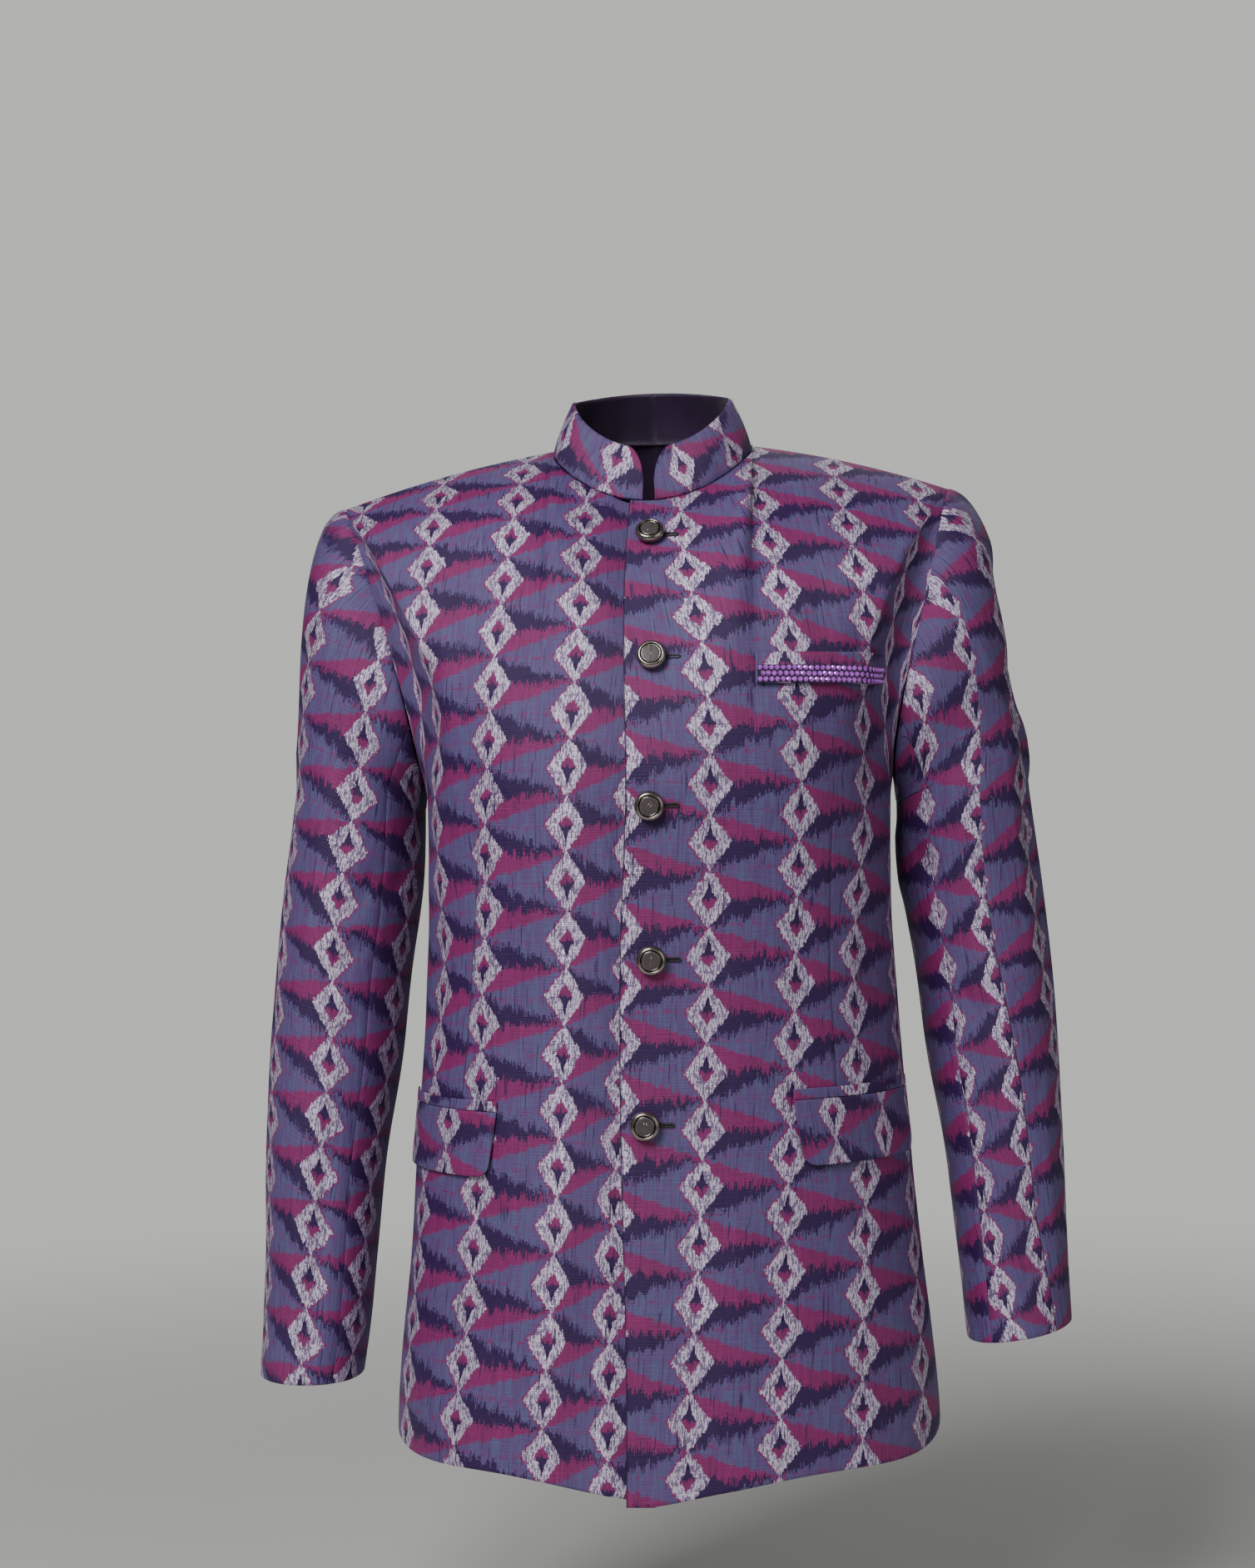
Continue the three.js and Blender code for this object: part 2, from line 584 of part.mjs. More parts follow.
// The four panels of one side: front, back, top sleeve and under sleeve.
function sidePanels(name) {
  const side = SIDES[name];
  const mirrored = name === "right";
  const front = bodyGrid(side, false);
  const back = bodyGrid(side, true);
  const topTurns = [
    ...BACK_ARM_TURNS.filter((turn) => turn >= BACK_SEAM_TURN).map((turn) => turn - 360).reverse(),
    ...FRONT_ARM_TURNS.filter((turn) => turn > 0 && turn <= FRONT_SEAM_TURN),
  ];
  const underTurns = [
    ...FRONT_ARM_TURNS.filter((turn) => turn >= FRONT_SEAM_TURN),
    ...BACK_ARM_TURNS.filter((turn) => turn > 180 && turn <= BACK_SEAM_TURN).reverse(),
  ];
  const top = sleeveGrid(name, topTurns);
  const under = sleeveGrid(name, underTurns);
  const frontN = gridNormals(front.grid, mirrored);
  const backN = gridNormals(back.grid, !mirrored);
  const topN = gridNormals(top, mirrored);
  const underN = gridNormals(under, mirrored);
  const last = LOW_ROWS + HIGH_ROWS;
  for (let i = 0; i <= last; i += 1) {
    joinNormals([frontN[i][front.list.length - 1], backN[i][back.list.length - 1]]);
    backN[i][0].setX(0).normalize();
  }
  topN.forEach((row, i) => {
    joinNormals([row[row.length - 1], underN[i][0]]);
    joinNormals([row[0], underN[i][underTurns.length - 1]]);
  });
  const frontNeck = front.list.indexOf(FRONT_SHARES.neck);
  const backNeck = back.list.indexOf(BACK_SHARES.neck);
  for (let k = 0; k < SHOULDER_COLS; k += 1) {
    joinNormals([frontN[last][frontNeck + k], backN[last][backNeck + k]]);
  }
  // Round the armhole, every corner that lies at the same turn.
  const armEdge = [];
  const noteEdge = (turns, row) => {
    const before = row.length - turns.length;
    turns.forEach((turn, k) => armEdge.push({ turn: (turn + 360) % 360, n: row[before + k] }));
  };
  noteEdge(FRONT_ARM_TURNS, frontN[last]);
  noteEdge(BACK_ARM_TURNS, backN[last]);
  noteEdge(topTurns, topN[0]);
  noteEdge(underTurns, underN[0]);
  for (const turn of new Set(armEdge.map((corner) => corner.turn))) {
    joinNormals(armEdge.filter((corner) => corner.turn === turn).map((corner) => corner.n));
  }
  if (mirrored) {
    front.grid.forEach((row, i) =>
      row.forEach((p, j) => {
        const t = clamp((i - LOW_ROWS) / HIGH_ROWS, 0, 1);
        p.addScaledVector(frontN[i][j], stepIn(p.x, p.z, t));
      }),
    );
  }
  return [
    shell(`front_${name}`, front.grid, frontN, WALL, ikat),
    shell(`back_${name}`, back.grid, backN, WALL, ikat),
    shell(`topsleeve_${name}`, top, topN, WALL, ikat),
    shell(`undersleeve_${name}`, under, underN, WALL, ikat),
  ];
}

// ---- collar ------------------------------------------------------------------------------------
function collarTop(turn) {
  const c = Math.cos(rad(turn));
  const { half, front, back, sideZ, frontZ, backZ } = COLLAR_TOP;
  const x = half * Math.sin(rad(turn));
  const share = Math.abs(c) ** COLLAR.curve;
  if (c >= 0) return vec(x, front * c, mix(sideZ, frontZ, share));
  return vec(x, -back * c, mix(sideZ, backZ, share));
}

function collarPanel() {
  const first = deg(Math.asin(COLLAR.gap / 2 / NECK.half));
  const half = [...FRONT_NECK_TURNS.slice(1), ...[...BACK_NECK_TURNS].reverse().slice(1)];
  const corners = [0, ...half];
  const near = [first, ...COLLAR_FRONT_TURNS];
  half.slice(0, -1).forEach((turn, k) => near.push(turn, (turn + half[k + 1]) / 2));
  const turns = [...near, 180, ...near.map((turn) => 360 - turn).reverse()];
  // The foot runs straight between the corners that it shares with the body panels.
  const footAt = (turn) => {
    const t = Math.min(turn, 360 - turn);
    let k = 0;
    while (k < corners.length - 2 && corners[k + 1] < t) k += 1;
    const share = (t - corners[k]) / (corners[k + 1] - corners[k]);
    const p = neckPoint(corners[k]).lerp(neckPoint(corners[k + 1]), share);
    if (turn > 180) p.x *= -1;
    return p;
  };
  const grid = Array.from({ length: COLLAR_ROWS + 1 }, () => []);
  for (const turn of turns) {
    const foot = footAt(turn);
    const head = collarTop(turn);
    const height = foot.distanceTo(head);
    const run = rad(Math.min(turn, 360 - turn) - first) * COLLAR.radius;
    const corner = clamp(1 - run / COLLAR_CORNER.along, 0, 1);
    const most = 1 - (COLLAR_CORNER.down / height) * (1 - Math.sqrt(1 - corner * corner));
    for (let i = 0; i <= COLLAR_ROWS; i += 1) {
      const t = mix(COLLAR.foot / height, most, i / COLLAR_ROWS);
      const p = foot.clone().lerp(head, t);
      const outward = vec(Math.sin(rad(turn)), -Math.cos(rad(turn)), 0);
      grid[i].push(p.addScaledVector(outward, COLLAR.bow * 4 * t * (1 - t)));
    }
  }
  return shell("collar", grid, gridNormals(grid, false), COLLAR_WALL, ikat);
}

// ---- pieces that lie on a front -----------------------------------------------------------------
// spot gives the column and the height of a point, for shares u along and v down the piece.
function lyingPiece(name, side, { cols, rows, lift, wall, material }, spot) {
  const grid = [];
  const normals = [];
  for (let i = 0; i <= rows; i += 1) {
    grid.push([]);
    normals.push([]);
    for (let j = 0; j <= cols; j += 1) {
      const { s, z } = spot(j / cols, i / rows);
      const n = frontNormal(side, s, z);
      grid[i].push(frontAt(side, s, z).addScaledVector(n, lift + wall));
      normals[i].push(n);
    }
  }
  return shell(name, grid, normals, wall, material);
}

function pocketPieces(name) {
  const side = SIDES[name];
  const { x, top } = POCKETS[name];
  const roundTo = roundFront(side, x, top - POCKET.measured, POCKET.length);
  const laid = { cols: POCKET.cols, rows: 1, lift: LIFT, wall: TRIM_WALL, material: ikat };
  const jet = lyingPiece(`jet_${name}`, side, laid, (u, v) => ({
    s: roundTo(u),
    z: top - v * POCKET.jet,
  }));
  const flapTop = top - POCKET.jet - SEAM;
  const hung = { ...laid, cols: POCKET.flapCols, rows: POCKET.flapRows };
  const flap = lyingPiece(`flap_${name}`, side, hung, (u, v) => {
    const eased = mix(u, 0.5 - 0.5 * Math.cos(Math.PI * u), 0.5);
    const end = Math.min(eased, 1 - eased) * POCKET.length;
    const near = clamp(1 - end / POCKET.corner, 0, 1);
    const drop = POCKET.flap - POCKET.corner * (1 - Math.sqrt(1 - near * near));
    const slant = ((1 - 2 * eased) * POCKET.slant * v) / POCKET.length;
    return { s: roundTo(eased + slant), z: flapTop - v * drop };
  });
  return [jet, flap];
}

function weltPieces() {
  const side = SIDES.left;
  const patch = (name, laid, { top, height, inset }) => {
    const lines = [0, 1, 2].map((k) => {
      const z = top - (height * k) / 2;
      return { z, round: roundFront(side, WELT.x, z, WELT.length) };
    });
    return lyingPiece(name, side, laid, (u, v) => {
      const line = lines[Math.round(v * 2)];
      return { s: line.round(mix(inset, WELT.length - inset, u) / WELT.length), z: line.z };
    });
  };
  const welt = { cols: WELT.cols, rows: 2, lift: WELT.lift, wall: TRIM_WALL, material: ikat };
  const lift = WELT.lift + TRIM_WALL + SEAM;
  const band = { cols: WELT.cols, rows: 2, lift, wall: BAND.wall, material: stones };
  const bandTop = WELT.top - WELT.height + BAND.height;
  const bandSize = { top: bandTop, height: BAND.height - BAND.margin, inset: BAND.inset };
  return [
    patch("chest_welt", welt, { top: WELT.top, height: WELT.height, inset: 0 }),
    patch("stone_band", band, bandSize),
  ];
}

// ---- buttons ----------------------------------------------------------------------------------------
function turned(name, profile, sides, frame, material) {
  const points = [];
  const rings = profile.map(([r, h]) => {
    if (r === 0) {
      points.push(vec(0, 0, h));
      return [points.length - 1];
    }
    return Array.from({ length: sides }, (_, k) => {
      const a = (k / sides) * 2 * Math.PI;
      points.push(vec(r * Math.cos(a), r * Math.sin(a), h));
      return points.length - 1;
    });
  });
  const faces = [];
  for (let i = 0; i < rings.length - 1; i += 1) {
    for (let k = 0; k < sides; k += 1) {
      const next = (k + 1) % sides;
      const [a, b] = [rings[i], rings[i + 1]];
      if (a.length === 1) faces.push([a[0], b[k], b[next]]);
      else if (b.length === 1) faces.push([a[k], b[0], a[next]]);
      else faces.push([a[k], b[k], b[next]], [a[k], b[next], a[next]]);
    }
  }
  points.forEach((p) => p.applyMatrix4(frame));
  return meshOf(points, faces, name, material);
}

function buttonPieces() {
  const { radius, height, recess, sink, shank, stand, sides } = BUTTON;
  const floor = stand + height - sink;
  const rim = [
    [0, 0.4],
    [shank, 0.4],
    [shank, stand],
    [radius - 1.6, stand],
    [radius - 0.3, stand + 1.1],
    [radius, stand + 2.4],
    [radius - 0.5, stand + 3.9],
    [radius - 1.4, stand + height],
    [recess + 0.5, stand + height + 0.2],
    [recess, stand + height - 0.3],
    [recess, floor],
    [0, floor],
  ];
  const face = [
    [0, floor + 0.3],
    [recess - 0.3, floor + 0.3],
    [recess - 0.3, floor + 1.1],
    [recess - 0.9, floor + 1.4],
    [0, floor + 1.5],
  ];
  return BUTTONS.flatMap(({ x, z }, k) => {
    const side = SIDES.left;
    const s = columnAt(side, x, z);
    const n = frontNormal(side, s, z);
    const p = frontAt(side, s, z);
    const across = vec(1, 0, 0).addScaledVector(n, -n.x).normalize();
    const frame = new THREE.Matrix4().makeBasis(across, n.clone().cross(across), n).setPosition(p);
    return [
      turned(`button_${k + 1}_rim`, rim, sides, frame, metal),
      turned(`button_${k + 1}_face`, face, sides, frame, inset),
    ];
  });
}

const jacket = new THREE.Group();
jacket.name = "bandhgala_jacket";
jacket.add(
  ...sidePanels("left"),
  ...sidePanels("right"),
  collarPanel(),
  ...weltPieces(),
  ...pocketPieces("left"),
  ...pocketPieces("right"),
  ...buttonPieces(),
);

export default jacket;
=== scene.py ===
"""A man's stand-collar jacket as it is worn, in silk with a tied-and-dyed warp.

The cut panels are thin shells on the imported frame, with folds, seams, darts and trims.
Lengths in the tables are millimetres; the frame is +Z up, front -Y, wearer's left +X.
"""
import math

import bpy
import numpy as np
from mathutils import Matrix, Vector


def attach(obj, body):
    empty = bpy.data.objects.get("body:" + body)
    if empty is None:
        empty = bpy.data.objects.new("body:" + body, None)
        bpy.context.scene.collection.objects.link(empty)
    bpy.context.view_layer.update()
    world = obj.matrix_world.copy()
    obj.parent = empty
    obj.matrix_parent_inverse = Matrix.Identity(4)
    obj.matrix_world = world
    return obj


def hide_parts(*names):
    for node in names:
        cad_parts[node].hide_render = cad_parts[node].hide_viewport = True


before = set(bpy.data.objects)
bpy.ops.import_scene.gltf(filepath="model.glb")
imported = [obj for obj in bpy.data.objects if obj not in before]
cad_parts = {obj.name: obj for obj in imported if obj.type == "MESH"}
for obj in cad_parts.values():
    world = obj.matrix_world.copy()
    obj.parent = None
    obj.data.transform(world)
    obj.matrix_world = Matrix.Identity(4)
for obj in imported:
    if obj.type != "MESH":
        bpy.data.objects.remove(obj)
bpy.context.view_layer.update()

bl_info = {
    "name": "Stand-collar jacket",
    "version": (1, 0, 0),
    "blender": (4, 5, 0),
    "location": "3D View > Sidebar > Jacket",
    "description": "Builds a worn stand-collar jacket in tied-and-dyed silk on its packed frame",
    "category": "Add Mesh",
}

MM = 0.001


def table(columns, *rows):
    """A small table as one array for each named column."""
    return {name: np.array([row[i] for row in rows], float) for i, name in enumerate(columns.split())}


# ---- cloth and fit, as in the cut panels ----
WALL = 2.0
COLLAR_WALL = 2.4
TRIM_WALL = 1.4
SEAM = 0.3
LIFT = 0.9
TURNED_EDGE = {"reach": 0.6, "thin": 0.42}  # in walls: how wide it narrows, and by how much a face
SEAM_DIP = {"reach": 3.5, "deep": 0.8}
NO_LINE = (-50, 0)  # the place on a panel without darts: far before a line that doesn't show
UNDERLAP = 3.2
UNDER_REACH = 20
UNDER_STEP = 14  # from the overlap's edge back to where the front below it lies level
FOLDED = 2.5  # the end under the overlap stops this much short of the hem

Z_CHEST = -262
BODY_Y = -15
BODY_POWER = 2.25
BODY = table(
    "z half front back",
    (-760, 201, -156, 110), (-700, 200, -153, 112), (-640, 193.5, -150, 110),
    (-575, 186.5, -146.5, 106), (-515, 183, -144, 100), (-450, 177.5, -143, 90),
    (-400, 174.5, -144, 84), (-340, 171.5, -147, 82), (-262, 172.5, -152, 94),
)
FRONT_HEM = table("at z", (-0.1, -747), (0, -746), (0.16, -738), (0.4, -729), (0.75, -727), (1, -717))
BACK_HEM = table("at z", (0, -723), (1, -717))

NECK = {"half": 75, "front": -60, "back": 62, "drop": -42, "rise": 14, "curve": 1.6}
NECK_SEAM_TURN = 102
TIP = (219, 2, -32)
SHOULDER_BOW = 4
SIDES = {
    "left": {"sign": 1, "tip_out": 0, "tip_drop": 0},
    "right": {"sign": -1, "tip_out": 14, "tip_drop": -4},
}
ARMHOLE = table(
    "turn x y z",
    (0, 219, 2, -32), (30, 214, -27, -50), (60, 204, -50, -94), (90, 191, -62, -146),
    (120, 180, -60, -194), (150, 175, -40, -229), (180, 174.5, -10, -243), (210, 175, 26, -233),
    (240, 178, 54, -200), (270, 185, 67, -152), (300, 199, 64, -98), (330, 212, 38, -54),
    (360, 219, 2, -32),
)
FRONT_EDGE = table("z x", (-760, -22), (-662, -21), (-483, -22.5), (-367, -20.5), (-290, -16), (-235, -13))
NECK_EDGE_X = -14
SHARES = {False: (0.32, 0.6), True: (0.29, 0.62)}  # neck and shoulder tip, on a front and on the back
# How the cloth runs where it ends, as far forward or back and as far up: at the centre of the neck and
# from its side to the shoulder tip, and at the armhole, at its top and lower down.
NECK_WAYS = {False: ((0.68, 0.73), (0.93, 0.37)), True: ((-0.45, 0.89), (-0.9, 0.43))}
ARM_WAYS = ((0.92, 0.39), (0.02, 1))
UPPER_REACH = 1.12  # pull of the curve from chest to shoulder, in shares of its span
CHEST_LEAN = 0.05
TIP_SPREAD = 0.3
ARM_SPREAD = 0.45
SHOULDER_COLS = 5
# Columns of a front where a place is looked for, how often that stretch is halved, and the step in
# which a length is measured round it.
COLUMN_RANGE, HALVINGS, ROUND_STEP = (-0.15, 0.99), 20, 0.015
NECK_TURNS = {False: [0, 17, 34, 51, 68, 85, 102], True: [180, 154, 128, 102]}
ARM_TURNS = {
    False: [0, 20, 42, 64, 86, 106, 125, 143, 161, 180],
    True: [360, 339, 317, 295, 272, 250, 234, 218, 199, 180],
}

# The cap of a sleeve leaves the armhole out and down by these amounts under the arm and over the
# shoulder, and how hard it pulls at both its ends.
CAP = {
    "out": (0.06, 1), "down": (-1, -0.15), "forward": -0.35, "change": 1.3, "over": 118,
    "under": 0.9, "end": 1.02, "lean": 0.1, "tuck": 0.004,
}
ARM_TOP, ARM_LOW = 30, -14  # where the arm begins outside and under the arm, from its first section
FRONT_SEAM_TURN = 125
BACK_SEAM_TURN = 250
SLEEVE_POWER = 2.15
CUFF_RISE = {"right": 1, "left": 7}
SLEEVES = {
    "right": table(
        "z inner outer y deep",
        (-250, 177.5, 273, 4, 65), (-320, 180.5, 284, 5, 63), (-385, 190.5, 291.5, 3, 61),
        (-450, 197.5, 296.5, -2, 58), (-520, 209, 299, -9, 54), (-590, 216, 299, -17, 50),
        (-640, 220.5, 300, -24, 48), (-681, 226, 301.5, -31, 46),
    ),
    "left": table(
        "z inner outer y deep",
        (-250, 177, 275, 10, 65), (-320, 179.5, 284, 17, 63), (-385, 189.5, 291, 18, 61),
        (-450, 197, 294.5, 14, 58), (-520, 208.5, 296, 6, 54), (-580, 215, 297, -2, 50),
        (-620, 219, 297.5, -7, 48), (-653, 222, 298.5, -12, 46),
    ),
}

COLLAR = {
    "gap": 9, "half": 59, "front": -49, "back": 47, "side_z": 40, "front_z": -2, "back_z": 52,
    "curve": 1.35, "bulge": 6,
}
COLLAR_CORNER = {"along": 13, "down": 25, "radius": 62}

WELT = {"x": 76, "length": 111, "top": -158, "height": 22, "lift": 2}
BAND = {"inset": 0.8, "height": 12.5, "fill": 0.968}
POCKETS = {"left": {"x": 98, "top": -462.5}, "right": {"x": 111, "top": -470}}
POCKET = {"length": 124, "jet": 7.5, "flap": 46, "corner": 11, "slant": 4, "level": 20}
FLAP_STAND, FLAP_WAVE = 1.4, 0.25  # how far a flap's lower edge stands off, and how it waves
BUTTONS = ((2.2, -70), (5, -160), (2.6, -263), (1.7, -370), (-4.8, -485))
BUTTON = {"radius": 10.5, "height": 5.6, "recess": 7.5, "sink": 1.5, "shank": 3, "stand": 2.2}
RIM_SIDES, DISC_SIDES = 56, 48
# Painted shade: the rim's faces from this step on, in its groove, take a near-black finish.
GROOVE_FROM = 14  # the step of the rim's profile where its groove begins
# The raised bars on a disc: the lean of each button's, which buttons have two, and their sizes.
BAR = {"leans": (62, 88, 48, 84, 72), "double": (3, 5), "apart": 0.9, "half": 0.16, "high": 0.34}
BOX_FACES = [[0, 1, 3, 2], [4, 6, 7, 5], [0, 4, 5, 1], [2, 3, 7, 6], [1, 5, 7, 3], [0, 2, 6, 4]]
HOLE_STEPS, HOLE_SIDES = 48, 6  # of the thread round a buttonhole
# A buttonhole begins before its button, is this high, and higher at its ends; its thread is twisted.
HOLE = {"before": 1, "half": 1.0, "end": 1.5, "end_from": 0.6, "lift": 0.35, "thick": 0.80, "twist": 0.16}
TAPE = {"thick": 0.7, "wall": 0.6}  # under the stones
# The cut of a stone, from its foot to its table: radius in widths of a stone, and height.
STONE_CUT = ((0.5, 0), (0.5, 0.35), (0.27, 1.05), (0, 1.08))
STONES = {"sides": 8, "pitch": 1.05, "tilt": 0.10}  # how far apart, and how unevenly they are set

# ---- how the figured cloth lies on each panel ----
COLUMN = 63.5  # between columns of lozenges
REPEAT = 40.0  # height of a lozenge with its crossing
FRONT_PHASE = {"left": 0.67, "right": -0.34}
# Where the first column of lozenges runs by height, measured across the cloth from the centre line
# of a front or the middle of a sleeve, with the width of the gaps before and after it.
FRONT_COLUMNS = {
    "left": table(
        "z at before after",
        (-760, 20, 61, 64), (-690, 22, 61, 64), (-600, 29, 61, 62), (-500, 35, 61, 62), (-400, 40, 61, 63),
        (-310, 43, 61, 64), (-250, 45, 61, 66), (-190, 43, 61, 64), (-135, 38, 61, 58), (-90, 31, 61, 54),
        (-40, 24, 61, 52),
    ),
    "right": table(
        "z at before after",
        (-760, 83, 48, 72), (-690, 80, 46, 70), (-600, 72, 41, 66), (-500, 66, 41, 64), (-400, 60, 45, 66),
        (-340, 57, 46, 65), (-262, 56, 46, 64), (-190, 49, 46, 62), (-135, 45, 46, 58), (-90, 44, 46, 55),
        (-40, 45, 46, 54),
    ),
}
SLEEVE_COLUMNS = {
    "left": table(
        "z at before after",
        (-660, -4, 58, 30), (-600, 4, 58, 33), (-565, 9, 58, 35), (-502, 12, 58, 38), (-450, 16, 58, 40),
        (-392, 22, 56, 40), (-353, 25, 56, 39), (-285, 23, 56, 42), (-170, 15, 58, 48), (-100, 7, 60, 56),
    ),
    "right": table(
        "z at before after",
        (-690, -24, 60, 44), (-640, -24, 60, 45), (-560, -23, 60, 48), (-500, -22, 60, 52),
        (-420, -24, 60, 56), (-340, -29, 60, 57), (-260, -28, 60, 60), (-180, -22, 60, 63),
        (-100, -18, 60, 63),
    ),
}
# The long waist dart of each front: where it runs, and the cloth it takes in.
DARTS = {
    "left": table(
        "z x in",
        (-462, 128, 10), (-430, 127, 11), (-380, 125, 13), (-330, 126, 9), (-278, 128, 0),
    ),
    "right": table(
        "z x in",
        (-470, 138, 10), (-430, 133, 13), (-380, 128, 17), (-330, 124, 10), (-281, 121, 0),
    ),
}

# Way up and place of the cloth on each sleeve panel, in columns across and repeats up. The left top sleeve
# has a pressed crease beside its middle column, and its cloth goes on the other way up beyond it; the
# crease's dark line is painted shadow.
SLEEVE_CLOTH = {
    ("left", False): {
        "turn_v": -1, "v": 0.0, "crease": {"u": 0.045, "hides": 0.155, "v": -0.25, "dark": 0.7},
    },
    ("left", True): {"turn_v": 1, "at": 0, "v": 0.0},
    ("right", False): {"turn_v": 1, "v": 0.24},
    ("right", True): {"turn_v": 1, "at": -27, "v": 0.24},
}
# Where a column of lozenges and one of its centres fall on each flap and on the welt.
FLAP_CLOTH = {
    "left": {"at": 29, "z": -480, "turn_v": -1, "apart": 48},
    "right": {"at": 45, "z": -487, "turn_v": 1, "apart": 60},
}
WELT_CLOTH = {"at": 21, "z": -166}
JET_PHASE = 0.2
# How dark the line of a dart is and how it ends, and the same for the painted shadow line along the
# pressed edge of the overlap.
DART_LINE = {"dark": 0.5, "below": 12, "fade": 6}
EDGE_SHADOW_LINE = {"dark": 0.75, "reach": 8, "fall": 0.6}
MID_FRONT = 0.18  # share round a front where its columns of lozenges are measured by height

# Half width in columns and half height in repeats of a lozenge, of its heart and of the dark spike in
# it, and how far below the middle the spike stands.
LOZENGE, HEART, SPIKE = (0.246, 0.505), (0.092, 0.200), (0.03, 0.20)
SPIKE_BELOW = 0.14
WEDGE = 0.485  # half height of a wedge at its lozenge
# How the cloth lies on each half of the collar: the first column's place from the opening, how close
# the next one stands, how high a lozenge stands, and how that climbs from column to column.
COLLAR_LEAN = 0.21
COLLAR_CLOTH = {
    "left": {"at": 0.45, "close": 1.42, "first": 0, "v": 0.50, "climb": 0.24, "climb_from": 0.42},
    "right": {"at": 0.48, "close": -1, "first": 1, "v": 0.22, "climb": 0.31, "climb_from": 0.48},
}

# How the threads vary: the steps of their noise across and up, and its detail.
GRAIN = {
    "slip": (7.31, 0.028, 0), "sway": (5.17, 0.021, 0), "fray": (3.7, 0.45, 0), "shade": (2.3, 0.02, 0),
    "weft": (0.05, 1.5, 0), "streak": (4.1, 0.045, 0), "fleck": (9.1, 0.20, 1), "slub": (0.55, 0.035, 0),
    "satin": (0.03, 0.02, 2),
}
BUNDLE = 3.4  # width of the threads that were tied together
PICK = 1.1  # height of one thread of the weft
HELD, LOOSE = 0.42, 0.95  # how far the slips move a lozenge, and the lower edge of a wedge

# ---- folds: soft troughs (deep above 0) and ridges (below 0) from one point to another ----
FRONT_FOLDS = table(
    "x z to_x to_z wide deep",
    (-160, -120, -150, -255, 9, 2.6), (-143, -150, -133, -300, 8, -1.6), (-172, -215, -158, -330, 8, 2.2),
    (-112, -70, -128, -190, 10, 1.2), (-90, -95, -100, -200, 11, -0.9), (-155, -330, -162, -455, 10, 1.8),
    (-95, -330, -100, -440, 10, 1.0), (-66, -300, -60, -420, 12, -0.8), (-120, -500, -150, -700, 16, 1.6),
    (-60, -520, -72, -730, 18, -1.4), (-25, -560, -34, -735, 14, 1.2), (-170, -520, -188, -700, 14, -1.6),
    (150, -110, 152, -250, 9, 2.2), (166, -190, 160, -320, 8, 2.0), (118, -80, 128, -170, 10, 1.0),
    (128, -230, 118, -300, 10, -0.8), (156, -340, 162, -450, 10, 1.6), (95, -330, 100, -430, 10, 0.9),
    (60, -300, 66, -430, 12, -0.8), (112, -540, 140, -705, 16, 1.6), (62, -520, 70, -730, 16, -1.4),
    (30, -540, 33, -738, 12, 1.1), (170, -520, 186, -700, 14, -1.6),
    (14, -372, 70, -360, 7, 0.8), (-26, -374, -84, -362, 7, 0.8), (12, -268, 60, -255, 7, 0.7),
    (-20, -268, -70, -252, 7, 0.7), (12, -488, 52, -480, 7, 0.6),
)
BACK_FOLDS = table(
    "x z to_x to_z wide deep",
    (-150, -120, -140, -250, 10, 2.4), (148, -130, 138, -265, 10, 2.4), (-110, -80, -60, -60, 9, 1.2),
    (100, -84, 52, -62, 9, 1.2), (-60, -340, 50, -352, 10, 1.3), (-90, -372, -20, -384, 10, 1.0),
    (20, -376, 96, -366, 10, 1.0), (-130, -330, -150, -450, 12, 1.4), (130, -330, 150, -455, 12, 1.4),
    (-90, -480, -110, -700, 18, -2.0), (88, -470, 106, -700, 18, -2.0), (-40, -500, -46, -705, 16, 1.6),
    (44, -500, 52, -705, 16, 1.6), (0, -150, 0, -300, 16, -1.0),
)
# On a sleeve the first number of each end is the turn round it, 0 outermost and 90 in front.
SLEEVE_FOLDS = {
    "left": table(
        "x z to_x to_z wide deep",
        (58, -168, 6, -255, 9, 5.0), (70, -150, 30, -232, 9, -2.2), (36, -150, 2, -205, 8, 2.4),
        (52, -180, 50, -420, 7, -1.8), (42, -220, 38, -430, 7, 2.2), (40, -430, 36, -640, 8, -1.2),
        (96, -300, 60, -345, 9, 1.8), (104, -345, 62, -392, 9, 2.0), (118, -396, 84, -430, 8, 1.4),
        (150, -290, 112, -330, 9, 2.0), (84, -470, 78, -640, 10, 1.2), (-20, -250, -34, -420, 12, 2.4),
        (-60, -180, -40, -330, 12, 2.2), (-70, -380, -96, -470, 10, 2.0), (60, -110, 56, -180, 8, -1.0),
        (0, -70, -4, -222, 34, 10.0), (-16, -222, 14, -244, 12, -2.4), (166, -268, 160, -350, 16, -3.0),
    ),
    "right": table(
        "x z to_x to_z wide deep",
        (98, -150, 92, -300, 8, 1.6), (40, -120, 30, -260, 10, 1.4), (66, -260, 58, -430, 10, -1.2),
        (122, -300, 92, -352, 9, 2.0), (118, -350, 84, -402, 9, 2.0), (120, -412, 92, -440, 8, 1.4),
        (150, -300, 118, -336, 9, 2.0), (22, -330, 46, -372, 9, 1.6), (16, -396, 40, -430, 9, 1.2),
        (92, -450, 86, -670, 9, -1.8), (104, -470, 98, -660, 8, 2.2), (40, -470, 34, -670, 10, 1.2),
        (-20, -260, -34, -430, 12, 2.2), (-60, -180, -42, -330, 12, 2.2), (-70, -390, -96, -480, 10, 2.0),
    ),
}


# ---- small tools ----
def mix(a, b, t):
    return a + (b - a) * t


def smooth(t):
    return t * t * (3 - 2 * t)


def unit(v):
    return v / np.linalg.norm(v)


def sine_cosine(turn):
    """Sine and cosine of a turn in degrees."""
    return math.sin(math.radians(turn)), math.cos(math.radians(turn))


def put_in_scene(name, data):
    item = bpy.data.objects.new(name, data)
    bpy.context.scene.collection.objects.link(item)
    return item


